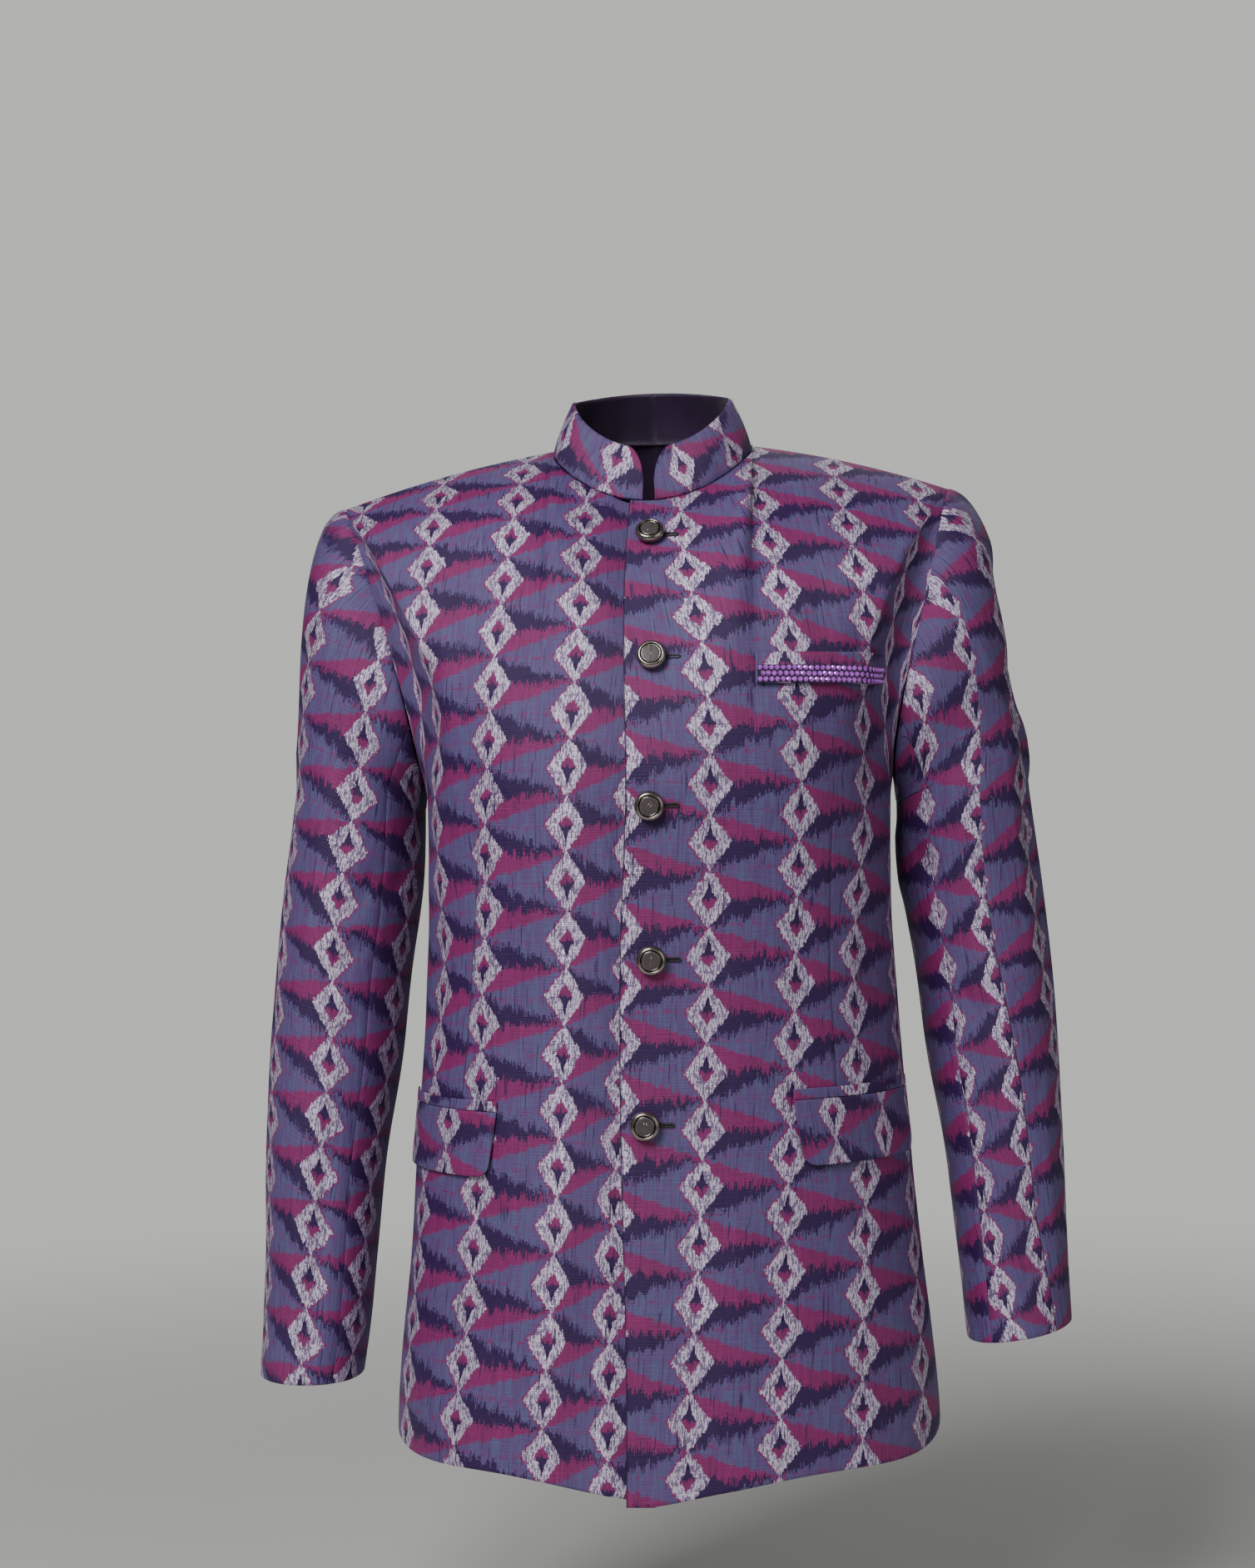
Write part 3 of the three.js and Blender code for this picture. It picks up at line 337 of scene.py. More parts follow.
def hermite(p0, m0, p1, m1, t):
    """A smooth curve from p0, which it leaves by m0, to p1, where it arrives by m1."""
    return (
        (2 * t**3 - 3 * t**2 + 1) * p0 + (t**3 - 2 * t**2 + t) * m0
        + (3 * t**2 - 2 * t**3) * p1 + (t**3 - t**2) * m1
    )


def along(tab, by, key, at):
    """Value of a column at a place between the rows, on a smooth curve."""
    xs, ys = tab[by], tab[key]
    if xs[0] > xs[-1]:
        xs, ys = xs[::-1], ys[::-1]
    at = np.clip(at, xs[0], xs[-1])
    i = np.clip(np.searchsorted(xs, at) - 1, 0, len(xs) - 2)
    rows = np.arange(len(xs))
    low, high = np.maximum(rows - 1, 0), np.minimum(rows + 1, len(xs) - 1)
    slope = (ys[high] - ys[low]) / (xs[high] - xs[low])
    span = xs[i + 1] - xs[i]
    return hermite(ys[i], slope[i] * span, ys[i + 1], slope[i + 1] * span, (at - xs[i]) / span)


def finer(values, parts):
    """The same run of numbers with each step cut into parts, and close steps at both ends."""
    out = [mix(a, b, k / parts) for a, b in zip(values[:-1], values[1:]) for k in range(parts)]
    out.append(values[-1])
    head = [mix(out[0], out[1], t) for t in (0.1, 0.35)]
    tail = [mix(out[-1], out[-2], t) for t in (0.35, 0.1)]
    return [out[0], *head, *out[1:-1], *tail, out[-1]]


def even_steps(parts):
    """From 0 to 1 in even steps, with close steps at both ends."""
    return finer([k / parts for k in range(parts + 1)], 1)


# ---- the body's form ----
quarters = {}


def quarter(z, is_back):
    """A quarter of a body section, from the centre line to the side, with its running length."""
    key = (round(float(z) * 4), is_back)
    if key not in quarters:
        z = key[0] / 4
        half = along(BODY, "z", "half", z)
        reach = along(BODY, "z", "back" if is_back else "front", z) - BODY_Y
        a = np.linspace(0, math.pi / 2, 81)
        x = half * np.sin(a) ** (2 / BODY_POWER)
        y = BODY_Y + reach * np.maximum(np.cos(a), 0) ** (2 / BODY_POWER)
        run = np.concatenate([[0], np.cumsum(np.hypot(np.diff(x), np.diff(y)))])
        quarters[key] = (x, y, run)
    return quarters[key]


def section_point(side, is_back, s, z):
    x, y, run = quarter(z, is_back)
    want = min(abs(s), 1) * run[-1]
    across = np.interp(want, run, x) * (1 if s >= 0 else -1) * side["sign"]
    return np.array([across, np.interp(want, run, y), z])


def neck_point(turn):
    s, c = sine_cosine(turn)
    x = NECK["half"] * s
    if c >= 0:
        return np.array([x, NECK["front"] * c, NECK["drop"] * abs(c) ** NECK["curve"]])
    return np.array([x, -NECK["back"] * c, NECK["rise"] * (1 - (1 + c) ** 2)])


def armhole_point(side, turn):
    t = turn % 360
    share = max(0, math.cos(math.radians(t))) ** 2
    x, y, z = (float(along(ARMHOLE, "turn", key, t)) for key in "xyz")
    return np.array([(x + side["tip_out"] * share) * side["sign"], y, z + side["tip_drop"] * share])


upper_ends = {}


def upper_end(side, is_back, s):
    """Where a column of the upper body ends, and the way it runs there."""
    key = (side["sign"], is_back, s)
    if key not in upper_ends:
        upper_ends[key] = find_upper_end(side, is_back, s)
    return upper_ends[key]


def find_upper_end(side, is_back, s):
    neck, tip = SHARES[is_back]
    a = abs(s)
    if a <= neck:
        q = s / neck
        p = neck_point(180 - q * (180 - NECK_SEAM_TURN) if is_back else q * NECK_SEAM_TURN)
        p[0] *= side["sign"]
        lean = smooth(a / neck)
        return p, np.array([0, *(mix(*ways, lean) for ways in zip(*NECK_WAYS[is_back]))])
    if a <= tip:
        q = (a - neck) / (tip - neck)
        inner = neck_point(NECK_SEAM_TURN)
        p = np.array([
            mix(inner[0], TIP[0] + side["tip_out"], q) * side["sign"],
            mix(inner[1], TIP[1], q),
            mix(inner[2], TIP[2] + side["tip_drop"], q) + SHOULDER_BOW * 4 * q * (1 - q),
        ])
        spread = TIP_SPREAD * q**2 * side["sign"]
        return p, np.array([spread, *NECK_WAYS[is_back][1]])
    q = (a - tip) / (1 - tip)
    upright = smooth(min(q * 2.2, 1))
    spread = (mix(TIP_SPREAD, 0, q) + ARM_SPREAD * math.sin(math.pi * q)) * side["sign"]
    forth, up = (mix(*ways, upright) for ways in zip(*ARM_WAYS))
    way = np.array([spread, -forth if is_back else forth, up])
    return armhole_point(side, 360 - 180 * q if is_back else 180 * q), way


def upper_curve(side, is_back, s):
    """Foot and head of a column of the upper body, each followed by the way the cloth runs there."""
    foot = section_point(side, is_back, s, Z_CHEST)
    head, way = upper_end(side, is_back, s)
    reach = np.linalg.norm(foot - head) * UPPER_REACH
    lead = np.array([0, CHEST_LEAN if is_back else -CHEST_LEAN, 1])
    return foot, lead * reach, head, way * reach


def front_at(side, s, z):
    """Point of a front on a column at a height."""
    if z <= Z_CHEST:
        return section_point(side, False, s, z)
    curve = upper_curve(side, False, s)
    t = np.linspace(0, 1, 121)
    heights = hermite(*(part[2] for part in curve), t)
    return hermite(*curve, np.interp(z, heights, t))


def front_normal(side, s, z):
    across = (front_at(side, s + 0.02, z) - front_at(side, s - 0.02, z)) * side["sign"]
    return unit(np.cross(across, front_at(side, s, z + 4) - front_at(side, s, z - 4)))


def column_at(side, x, z):
    """Column of a front that passes a distance x from the centre plane at a height."""
    low, high = COLUMN_RANGE
    for _ in range(HALVINGS):
        s = (low + high) / 2
        if front_at(side, s, z)[0] * side["sign"] < x:
            low = s
        else:
            high = s
    return (low + high) / 2


def round_front(side, x, z, length):
    """Columns by share of a length measured round the front from x at one height."""
    s = [column_at(side, x, z)]
    run = [0.0]
    last = front_at(side, s[0], z)
    while run[-1] < length:
        if s[-1] > COLUMN_RANGE[1] - ROUND_STEP:
            raise ValueError(f"a piece {length} mm long runs off the front")
        s.append(s[-1] + ROUND_STEP)
        here = front_at(side, s[-1], z)
        run.append(run[-1] + float(np.linalg.norm(here - last)))
        last = here
    marks = {"run": np.array(run), "s": np.array(s)}
    return lambda share: along(marks, "run", "s", np.clip(share, 0, 1) * length)


# ---- panels as grids of points ----
def body_grid(name, is_back):
    """Rows of points from hem to upper edge, with the share of each column."""
    side = SIDES[name]
    is_left = name == "left"
    neck, tip = SHARES[is_back]
    turns = NECK_TURNS[is_back]
    shares = [] if is_back else [-1, -0.5]
    shares += [neck * (turn - turns[0]) / (turns[-1] - turns[0]) for turn in turns]
    shares += [mix(neck, tip, i / SHOULDER_COLS) for i in range(1, SHOULDER_COLS)]
    shares += [mix(tip, 1, abs(turn - ARM_TURNS[is_back][0]) / 180) for turn in ARM_TURNS[is_back]]
    shares = finer(shares, 4)
    hem = BACK_HEM if is_back else FRONT_HEM

    def past_centre(z, t):
        length = quarter(min(z, Z_CHEST), False)[2][-1]
        low = float(along(FRONT_EDGE, "z", "x", z)) / length if is_left else -UNDER_REACH / length
        turn = math.degrees(math.asin((NECK_EDGE_X if is_left else -UNDER_REACH) / NECK["half"]))
        return mix(low, turn / NECK_SEAM_TURN * neck, t)

    def place(s, z, t):
        if s < 0:
            return -s * past_centre(z, t)
        return s

    rows = []
    for q in finer([1 - i / 9 for i in range(10)], 7):
        row = []
        for s in shares:
            if s < 0 and not is_left:
                foot = float(along(hem, "at", "z", -s * 0.08)) + FOLDED
            else:
                foot = float(along(hem, "at", "z", min(max(s, -0.1), 1)))
            z = mix(Z_CHEST, foot, q)
            row.append(section_point(side, is_back, place(s, z, 0), z))
        rows.append(row)
    chest_row = len(rows) - 1
    for t in finer([i / 8 for i in range(9)], 7)[1:]:
        row = []
        for s in shares:
            end, _ = upper_end(side, is_back, place(s, Z_CHEST, 1))
            foot = section_point(side, is_back, abs(s), Z_CHEST)
            at = t * (1 + SEAM / max(10, np.linalg.norm(foot - end)))
            row.append(hermite(*upper_curve(side, is_back, place(s, Z_CHEST, at)), at))
        rows.append(row)
    return np.array(rows), np.array(shares), chest_row


def sleeve_section(name, turn, z):
    """Points round a sleeve, for arrays of turns and heights."""
    tab = SLEEVES[name]
    inner, outer, y, deep = (along(tab, "z", key, z) for key in ("inner", "outer", "y", "deep"))
    c, s = np.cos(np.radians(turn)), np.sin(np.radians(turn))
    x = (inner + outer) / 2 + (outer - inner) / 2 * np.sign(c) * np.abs(c) ** (2 / SLEEVE_POWER)
    y = y - deep * np.sign(s) * np.abs(s) ** (2 / SLEEVE_POWER)
    return np.stack([x * SIDES[name]["sign"], y, z + 0 * c], -1)


def sleeve_grid(name, turns):
    """Rows of points from the armhole down to the cuff, with the turn of each column."""
    side = SIDES[name]
    sign = side["sign"]
    top, cuff = SLEEVES[name]["z"][0], SLEEVES[name]["z"][-1]
    turns = np.array(finer(turns, 6))
    c, s = np.cos(np.radians(turns)), np.sin(np.radians(turns))
    out = (1 + c) / 2
    begin = mix(top + ARM_LOW, top + ARM_TOP, out)
    start = np.array([armhole_point(side, turn) for turn in turns])
    end = sleeve_section(name, turns, np.full(len(turns), float(top)))
    end[:, 2] = begin
    chord = np.linalg.norm(start - end, axis=1)[:, None]
    over = out ** CAP["change"]
    lead = np.stack([mix(*CAP["out"], over) * sign, CAP["forward"] * s, mix(*CAP["down"], over)], -1)
    pull = mix(chord * CAP["under"], CAP["over"], out[:, None] ** 2)
    lead *= pull / np.linalg.norm(lead, axis=1, keepdims=True)
    down = np.array([CAP["lean"] * sign, 0, -1]) * chord * CAP["end"]
    t = np.array(finer([i / 6 for i in range(7)], 8)[:-1])[:, None, None]
    cap = hermite(start, lead, end, down, t - CAP["tuck"] * (1 - t))
    k = np.array(finer([i / 8 for i in range(9)], 9))[:, None]
    z = mix(begin, cuff, k)
    arm = sleeve_section(name, turns + 0 * k, z)
    arm[..., 2] += CUFF_RISE[name] * k**3 * c
    return np.concatenate([cap, arm]), turns


def grid_normals(grid, outward):
    """Unit normals of a grid, turned to the side that outward gives."""
    n = np.cross(np.gradient(grid, axis=1), np.gradient(grid, axis=0))
    n /= np.maximum(np.linalg.norm(n, axis=2, keepdims=True), 1e-9)
    return n if (n * outward).sum() > 0 else -n


def fold_depth(a, b, folds):
    """How far the cloth sinks at each place, from a table of folds."""
    depth = np.zeros_like(a)
    columns = (folds[key] for key in ("x", "z", "to_x", "to_z", "wide", "deep"))
    for x, z, tx, tz, wide, deep in zip(*columns):
        length = math.hypot(tx - x, tz - z)
        ux, uz = (tx - x) / length, (tz - z) / length
        run = ((a - x) * ux + (b - z) * uz) / length
        bow = 0.06 * length * np.sin(math.pi * np.clip(run, 0, 1)) * math.sin(x * 3.1 + z)
        off = (b - z) * ux - (a - x) * uz - bow
        ends = smooth(np.clip(run / 0.3, 0, 1)) * smooth(np.clip((1 - run) / 0.35, 0, 1))
        widen = wide * (0.75 + 0.5 * np.clip(run, 0, 1))
        depth += deep * ends * np.exp(-((off / widen) ** 2))
    return depth


def slow_waves(a, b, size):
    """The uneven lie of pressed cloth, a few tenths deep."""
    wave = np.sin(a / 17 + 0.6 * np.sin(b / 41)) * np.sin(b / 63 + 1.3)
    return size * (wave + 0.6 * np.sin(a / 9.5 + b / 37) * np.sin(b / 29 + a / 71))


# ---- shells ----
def running(grid, axis):
    """Running length of the grid's lines from their first point."""
    step = np.linalg.norm(np.diff(grid, axis=axis), axis=2)
    zero = np.zeros_like(step[:1] if axis == 0 else step[:, :1])
    return np.concatenate([zero, np.cumsum(step, axis=axis)], axis=axis)


def shell(name, grid, normals, wall, borders, cloth, line=None, past=None, inside=True):
    """A closed thin shell behind the grid. borders says what each of its first row, last row, first
    column and last column is: an edge that is turned and pressed, or a seam that dips. line gives
    the distance from a dart or crease and how strong it is, and past is the cloth beyond it."""
    down, across = running(grid, 0), running(grid, 1)
    reach = (down, down[-1:] - down, across, across[:, -1:] - across)
    dip = np.zeros(grid.shape[:2])
    thin = np.zeros(grid.shape[:2])
    for kind, away in zip(borders, reach):
        if kind == "edge":
            near = np.clip(1 - away / (wall * TURNED_EDGE["reach"]), 0, 1)
            thin = np.maximum(thin, 1 - np.sqrt(1 - near**2))
        if kind == "seam":
            dip = np.maximum(dip, SEAM_DIP["deep"] * np.clip(1 - away / SEAM_DIP["reach"], 0, 1) ** 2)
    thin = thin * wall * TURNED_EDGE["thin"]
    outer = grid - normals * (dip + thin)[..., None]
    inner = grid - normals * (wall + dip - thin)[..., None]
    rows, cols = grid.shape[:2]
    count = rows * cols
    at = np.arange(count).reshape(rows, cols)
    quads = np.stack([at[:-1, :-1], at[:-1, 1:], at[1:, 1:], at[1:, :-1]], -1).reshape(-1, 4)
    loop = np.concatenate([at[0, :-1], at[:-1, -1], at[-1, :0:-1], at[:0:-1, 0]])
    after = np.roll(loop, -1)
    rim = np.stack([after, loop, loop + count, after + count], -1)
    a, b, d = (outer.reshape(-1, 3)[quads[:, k]] for k in (0, 1, 3))
    facing = (np.cross(b - a, d - a) * normals.reshape(-1, 3)[quads[:, 0]]).sum()
    faces = np.concatenate([quads, rim, quads[:, ::-1] + count])
    if facing < 0:
        faces = faces[:, ::-1]
    mesh = bpy.data.meshes.new(name)
    points = np.concatenate([outer.reshape(-1, 3), inner.reshape(-1, 3)]) * MM
    mesh.from_pydata(points.tolist(), [], faces.tolist())
    if line is None:
        line, past = np.zeros((rows, cols, 2)) + NO_LINE, cloth
    for key, laid in (("cloth", cloth), ("past", past), ("line", line)):
        lay_cloth(mesh, key, np.concatenate([laid.reshape(-1, 2)] * 2))
    mesh.polygons.foreach_set("use_smooth", [True] * len(faces))
    mesh.materials.append(ikat_cloth())
    mesh.materials.append(lining())
    kinds = np.zeros(len(faces), int)
    if inside:
        kinds[len(quads) + len(rim):] = 1
    mesh.polygons.foreach_set("material_index", kinds)
    mesh.update()
    return put_in_scene(name, mesh)


def lay_cloth(mesh, name, per_point):
    layer = mesh.uv_layers.new(name=name)
    corner = np.zeros(len(mesh.loops), int)
    mesh.loops.foreach_get("vertex_index", corner)
    layer.data.foreach_set("uv", per_point[corner].ravel())


def on_frame(piece, slot, *nodes):
    """The piece rides with the jacket and stands for these nodes of it, if any."""
    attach(piece, "root")
    if nodes:
        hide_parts(*nodes)


def cloth_measure(grid, centre, base_row):
    """Width across the threads from the centre column, and length along them from the base row."""
    along_way = np.gradient(grid, axis=0)
    along_way /= np.maximum(np.linalg.norm(along_way, axis=2, keepdims=True), 1e-9)
    step = np.diff(grid, axis=1)
    way = (along_way[:, 1:] + along_way[:, :-1]) / 2
    width = np.linalg.norm(np.cross(step, way), axis=2)
    width = np.concatenate([np.zeros((len(grid), 1)), np.cumsum(width, axis=1)], axis=1)
    width = width - width[:, centre][:, None]
    length = running(grid, 0)
    return width, length - length[base_row]


def column_count(width, tab, height):
    """Number of columns from the first, at a width across the cloth. Where two columns stand close
    the gap between them is narrow, and their lozenges keep their size."""
    at, before, after = (along(tab, "z", key, height) for key in ("at", "before", "after"))
    past = width - at
    apart = np.where(past < 0, before, np.where(past < after, after, COLUMN))
    count = np.where(past < after, past / apart, 1 + (past - after) / apart)
    return count + (apart / COLUMN - 1) * np.sin(2 * math.pi * count) / (2 * math.pi)


# ---- finishes ----
# Darker and lighter colour of each trim.
METAL = ((0.56, 0.53, 0.50), (0.70, 0.66, 0.62))
# Painted shade: darker and lighter near-black for the button's groove, where shade falls between rim and
# disc.
GROOVE_SHADE = ((0.02, 0.018, 0.02), (0.05, 0.04, 0.05))
DISC = ((0.25, 0.215, 0.225), (0.34, 0.295, 0.305))
# The stones' own violet, and the pale lilac of their painted glints.
STONE = ((0.50, 0.08, 0.66), (0.86, 0.50, 0.96))
THREAD = ((0.035, 0.018, 0.045), (0.12, 0.06, 0.12))
# The stitching line of a dart, which also draws the painted shadow line of a crease and of the overlap's
# edge, and the gloss of the silk seen edge on.
STITCH_AND_SHADOW_DARK = (0.07, 0.04, 0.12)
SHEEN = (0.80, 0.70, 0.86)


def linear(colour):
    return [c / 12.92 if c <= 0.04045 else ((c + 0.055) / 1.055) ** 2.4 for c in colour]


class Value:
    """A number that the nodes of a finish work out, so that their sums are written as sums."""

    def __init__(self, bench, socket):
        self.bench, self.socket = bench, socket

    def __add__(self, other):
        return self.bench.calc("ADD", self, other)

    def __sub__(self, other):
        return self.bench.calc("SUBTRACT", self, other)

    def __rsub__(self, other):
        return self.bench.calc("SUBTRACT", other, self)

    def __mul__(self, other):
        return self.bench.calc("MULTIPLY", self, other)

    def __truediv__(self, other):
        return self.bench.calc("DIVIDE", self, other)

    def __lt__(self, other):
        return self.bench.calc("LESS_THAN", self, other)

    def __gt__(self, other):
        return self.bench.calc("GREATER_THAN", self, other)

    def __abs__(self):
        return self.bench.calc("ABSOLUTE", self)

    def floor(self):
        return self.bench.calc("FLOOR", self)

    def fract(self):
        return self.bench.calc("FRACT", self)

    def sine(self):
        return self.bench.calc("SINE", self)

    def at_most(self, other):
        return self.bench.calc("MINIMUM", self, other)

    __radd__ = __add__


def diamond(wide, high, size):
    """Below 1 inside a diamond, from its half width and half height."""
    return wide / size[0] + high / size[1]


class Bench:
    """Sets out the nodes of one finish."""

    def __init__(self, name):
        self.material = bpy.data.materials.new(name)
        self.material.use_nodes = True
        self.tree = self.material.node_tree
        self.tree.nodes.clear()
        self.out = self.put("ShaderNodeOutputMaterial")
        self.shader = self.put("ShaderNodeBsdfPrincipled")
        self.tree.links.new(self.shader.outputs[0], self.out.inputs[0])

    def put(self, kind, **settings):
        node = self.tree.nodes.new(kind)
        for key, value in settings.items():
            setattr(node, key, value)
        return node

    def feed(self, socket, value):
        if isinstance(value, Value):
            value = value.socket
        if isinstance(value, bpy.types.NodeSocket):
            self.tree.links.new(value, socket)
        else:
            socket.default_value = value

    def give(self, name, value):
        self.feed(self.shader.inputs[name], value)

    def laid(self, name):
        """The two numbers of one of the ways that cloth is laid on its mesh."""
        node = self.put("ShaderNodeSeparateXYZ")
        self.tree.links.new(self.put("ShaderNodeUVMap", uv_map=name).outputs[0], node.inputs[0])
        return Value(self, node.outputs[0]), Value(self, node.outputs[1])

    def calc(self, operation, *values):
        node = self.put("ShaderNodeMath", operation=operation)
        for socket, value in zip(node.inputs, values):
            self.feed(socket, value)
        return Value(self, node.outputs[0])

    def grain(self, kind, x, y):
        """One of the kinds of noise in GRAIN, at millimetres or numbers of threads."""
        step_x, step_y, detail = GRAIN[kind]
        place = self.put("ShaderNodeCombineXYZ")
        self.feed(place.inputs[0], x * step_x)
        self.feed(place.inputs[1], y * step_y)
        node = self.put("ShaderNodeTexNoise", noise_dimensions="2D")
        self.feed(node.inputs["Vector"], place.outputs[0])
        self.feed(node.inputs["Scale"], 1.0)
        self.feed(node.inputs["Detail"], detail)
        return Value(self, node.outputs[0])

    def by_place(self, scale, detail=2.0):
        """Noise fixed to the piece itself."""
        node = self.put("ShaderNodeTexNoise")
        self.tree.links.new(self.put("ShaderNodeTexCoord").outputs["Object"], node.inputs["Vector"])
        node.inputs["Scale"].default_value = scale
        node.inputs["Detail"].default_value = detail
        return Value(self, node.outputs[0])

    def blend(self, share, a, b):
        node = self.put("ShaderNodeMix", data_type="RGBA")
        self.feed(node.inputs[0], share)
        for socket, colour in ((node.inputs[6], a), (node.inputs[7], b)):
            is_made = isinstance(colour, bpy.types.NodeSocket)
            self.feed(socket, colour if is_made else (*linear(colour), 1))
        return node.outputs[2]

    def tone(self, colour, value):
        node = self.put("ShaderNodeHueSaturation")
        self.feed(node.inputs["Value"], value)
        self.feed(node.inputs["Color"], colour)
        return node.outputs[0]

    def bump(self, height, strength, distance):
        node = self.put("ShaderNodeBump")
        self.feed(node.inputs["Height"], height)
        node.inputs["Strength"].default_value = strength
        node.inputs["Distance"].default_value = distance
        self.give("Normal", node.outputs[0])

    def surface(self, **numbers):
        for key, value in numbers.items():
            self.shader.inputs[key.replace("_", " ")].default_value = value


def finish(fill):
    """A finish that is made the first time it is asked for."""
    name = fill.__name__ + "_look"

    def made():
        if name not in bpy.data.materials:
            fill(Bench(name))
        return bpy.data.materials[name]
    return made


@finish
def ikat_cloth(b):
    """Silk whose warp is tied and dyed into columns of lozenges before it is woven."""
    cloth = bpy.context.scene.jacket_cloth
    thread_width = cloth.thread / MM
    place, past, line = b.laid("cloth"), b.laid("past"), b.laid("line")
    beyond = line[0] > 0.0
    u, v = (here + beyond * (there - here) for here, there in zip(place, past))
    marked = line[1] > 0.01
    across, up = u * (cloth.column / MM), v * (cloth.repeat / MM)

    # Each thread of the warp slips a little up or down before it is woven.
    thread = (across / thread_width).floor()
    slip = b.grain("slip", thread, up) - 0.5
    sway = b.grain("sway", (across / BUNDLE).floor(), up) - 0.5
    fray = b.grain("fray", thread, up) - 0.5
    slips = (slip + sway * 0.8 + fray * 0.5) * (cloth.feather / cloth.repeat * 2.6)
    held, loose = v + slips * HELD, v + slips * LOOSE

    # The column that is nearest, and the place in its lozenge.
    column = (u + 0.5).floor()
    x = u - column
    y = (held + column * 0.5 + 0.5).fract() - 0.5
    wide, high = abs(x), abs(y)
    ring, heart = diamond(wide, high, LOZENGE), diamond(wide, high, HEART)
    spike = diamond(wide, abs(y - SPIKE_BELOW), SPIKE)

    # The strip between two columns: a wedge from the lozenge on the left to the crossing on the right.
    left = u.floor()
    q = u - left
    tall, low = ((lie + left * 0.5 + 0.5).fract() - 0.5 for lie in (held, loose))
    taper = (1.02 - q) * WEDGE
    in_wedge = (tall < taper) * (low > taper * -1.0)
    upper = low > 0.02 - q * 0.03

    shade, weft = b.grain("shade", thread, up), b.grain("weft", across, up)
    streak = b.grain("streak", (across / (thread_width * 1.9)).floor(), up)
    field = b.blend((shade - 0.28) * 1.3, cloth.slate, cloth.slate_deep)
    field = b.blend((streak > 0.56) * 0.65, field, cloth.slate_cool)
    colour = b.blend(in_wedge, field, b.blend(upper, cloth.indigo, cloth.magenta))
    colour = b.blend((ring < 1.10) * (x < 0.0), colour, cloth.magenta)
    fleck = b.grain("fleck", thread, up)
    colour = b.blend(ring < 1.0, colour, b.blend((fleck > 0.51) * 0.78, cloth.ivory, cloth.ivory_deep))
    colour = b.blend(heart < 1.0, colour, b.blend(y > 0.015, cloth.magenta, cloth.indigo))
    colour = b.blend(spike < 1.0, colour, cloth.indigo)

    # Slubs in the warp, the weave's own light and dark, and the dark line of the dart's stitching, of a
    # crease and of the overlap's edge, the last two painted shadow.
    slub = b.grain("slub", across, up)
    colour = b.blend((slub > 0.80) * 0.75, colour, cloth.indigo)
    colour = b.tone(colour, 0.52 + (shade * 0.42 + weft * 0.26) + streak * 0.30)
    # A dark line that is partly stitching, at the dart, and partly painted shadow, at the crease and at
    # the overlap's edge.
    stitch_and_shadow = (abs(line[0]) < 0.55) * (marked * line[1])
    b.give("Base Color", b.blend(stitch_and_shadow, colour, STITCH_AND_SHADOW_DARK))
    pale = (ring < 1.0) * (heart > 1.0)
    b.give("Roughness", 0.50 - pale * (shade * 0.34))
    b.give("Metallic", pale * 0.38)

    ridge = (across * (math.pi * 2 / thread_width)).sine()
    pick = (up * (math.pi * 2 / PICK)).sine()
    valley = (1.0 - (abs(line[0]) / 1.8).at_most(1.0)) * marked * -3.0
    b.bump(ridge * pick * 0.35 + (shade * 1.8 + weft) + valley, 0.55, 0.0004)
    b.surface(Specular_IOR_Level=0.5, Sheen_Weight=0.07, Sheen_Roughness=0.35)
    b.surface(Sheen_Tint=(*linear(SHEEN), 1), Anisotropic=0.3)


@finish
def lining(b):
    """Plain plum satin on the inner face."""
    cloth = bpy.context.scene.jacket_cloth
    u, v = b.laid("cloth")
    across, up = u * (cloth.column / MM), v * (cloth.repeat / MM)
    twill = ((across + up * 0.6) * 5.0).sine()
    cloudy = b.grain("satin", across, up)
    b.give("Base Color", b.blend(cloudy, cloth.lining, [part * 0.6 for part in cloth.lining]))
    b.bump(twill + cloudy * 6.0, 0.3, 0.0003)
    b.surface(Roughness=0.42, Specular_IOR_Level=0.4, Sheen_Weight=0.1)


@finish
def gunmetal(b):
    """Dark polished button metal, a little worn on its crown."""
    worn = b.by_place(900)
    b.give("Base Color", b.blend(worn, *METAL))
    b.give("Roughness", 0.16 + worn * 0.08)
    b.surface(Metallic=1.0)


@finish
def groove_black(b):
    """Painted shade: near-black in the groove between a button's rim and its disc, where shade falls."""
    b.give("Base Color", b.blend(b.by_place(1500), *GROOVE_SHADE))
    b.surface(Roughness=0.45)


@finish
def button_disc(b):
    """Taupe enamel with a satin grain."""
    grain = b.by_place(1400)
    b.give("Base Color", b.blend(grain, *DISC))
    b.bump(grain, 0.10, 0.0002)
    b.surface(Roughness=0.45, Specular_IOR_Level=0.35, Coat_Weight=0.1, Coat_Roughness=0.3)


@finish
def stone_glass(b):
    """Violet cut glass over foil."""
    # Painted glints: noise turns the stones' own violet pale in places, standing in for their sparkle.
    glint = b.by_place(420, 0.0)
    b.give("Base Color", b.blend(glint, *STONE))
    b.surface(Roughness=0.08, Specular_IOR_Level=0.8, Coat_Weight=0.6, Coat_Roughness=0.03, Metallic=0.35)


@finish
def dark_thread(b):
    """Twisted dark thread."""
    twist = b.by_place(1800)
    b.give("Base Color", b.blend(twist, *THREAD))
    b.bump(twist, 0.5, 0.0003)
    b.surface(Roughness=0.6, Sheen_Weight=0.2)


# ---- settings ----
def colour_setting(name, description, default):
    return bpy.props.FloatVectorProperty(
        name=name, description=description, default=default, subtype="COLOR_GAMMA", size=3, min=0, max=1)


def length_setting(name, description, default):
    return bpy.props.FloatProperty(
        name=name, description=description, default=default, unit="LENGTH", precision=5)


def number_setting(name, description, default, unit="NONE"):
    return bpy.props.FloatProperty(name=name, description=description, default=default, unit=unit)


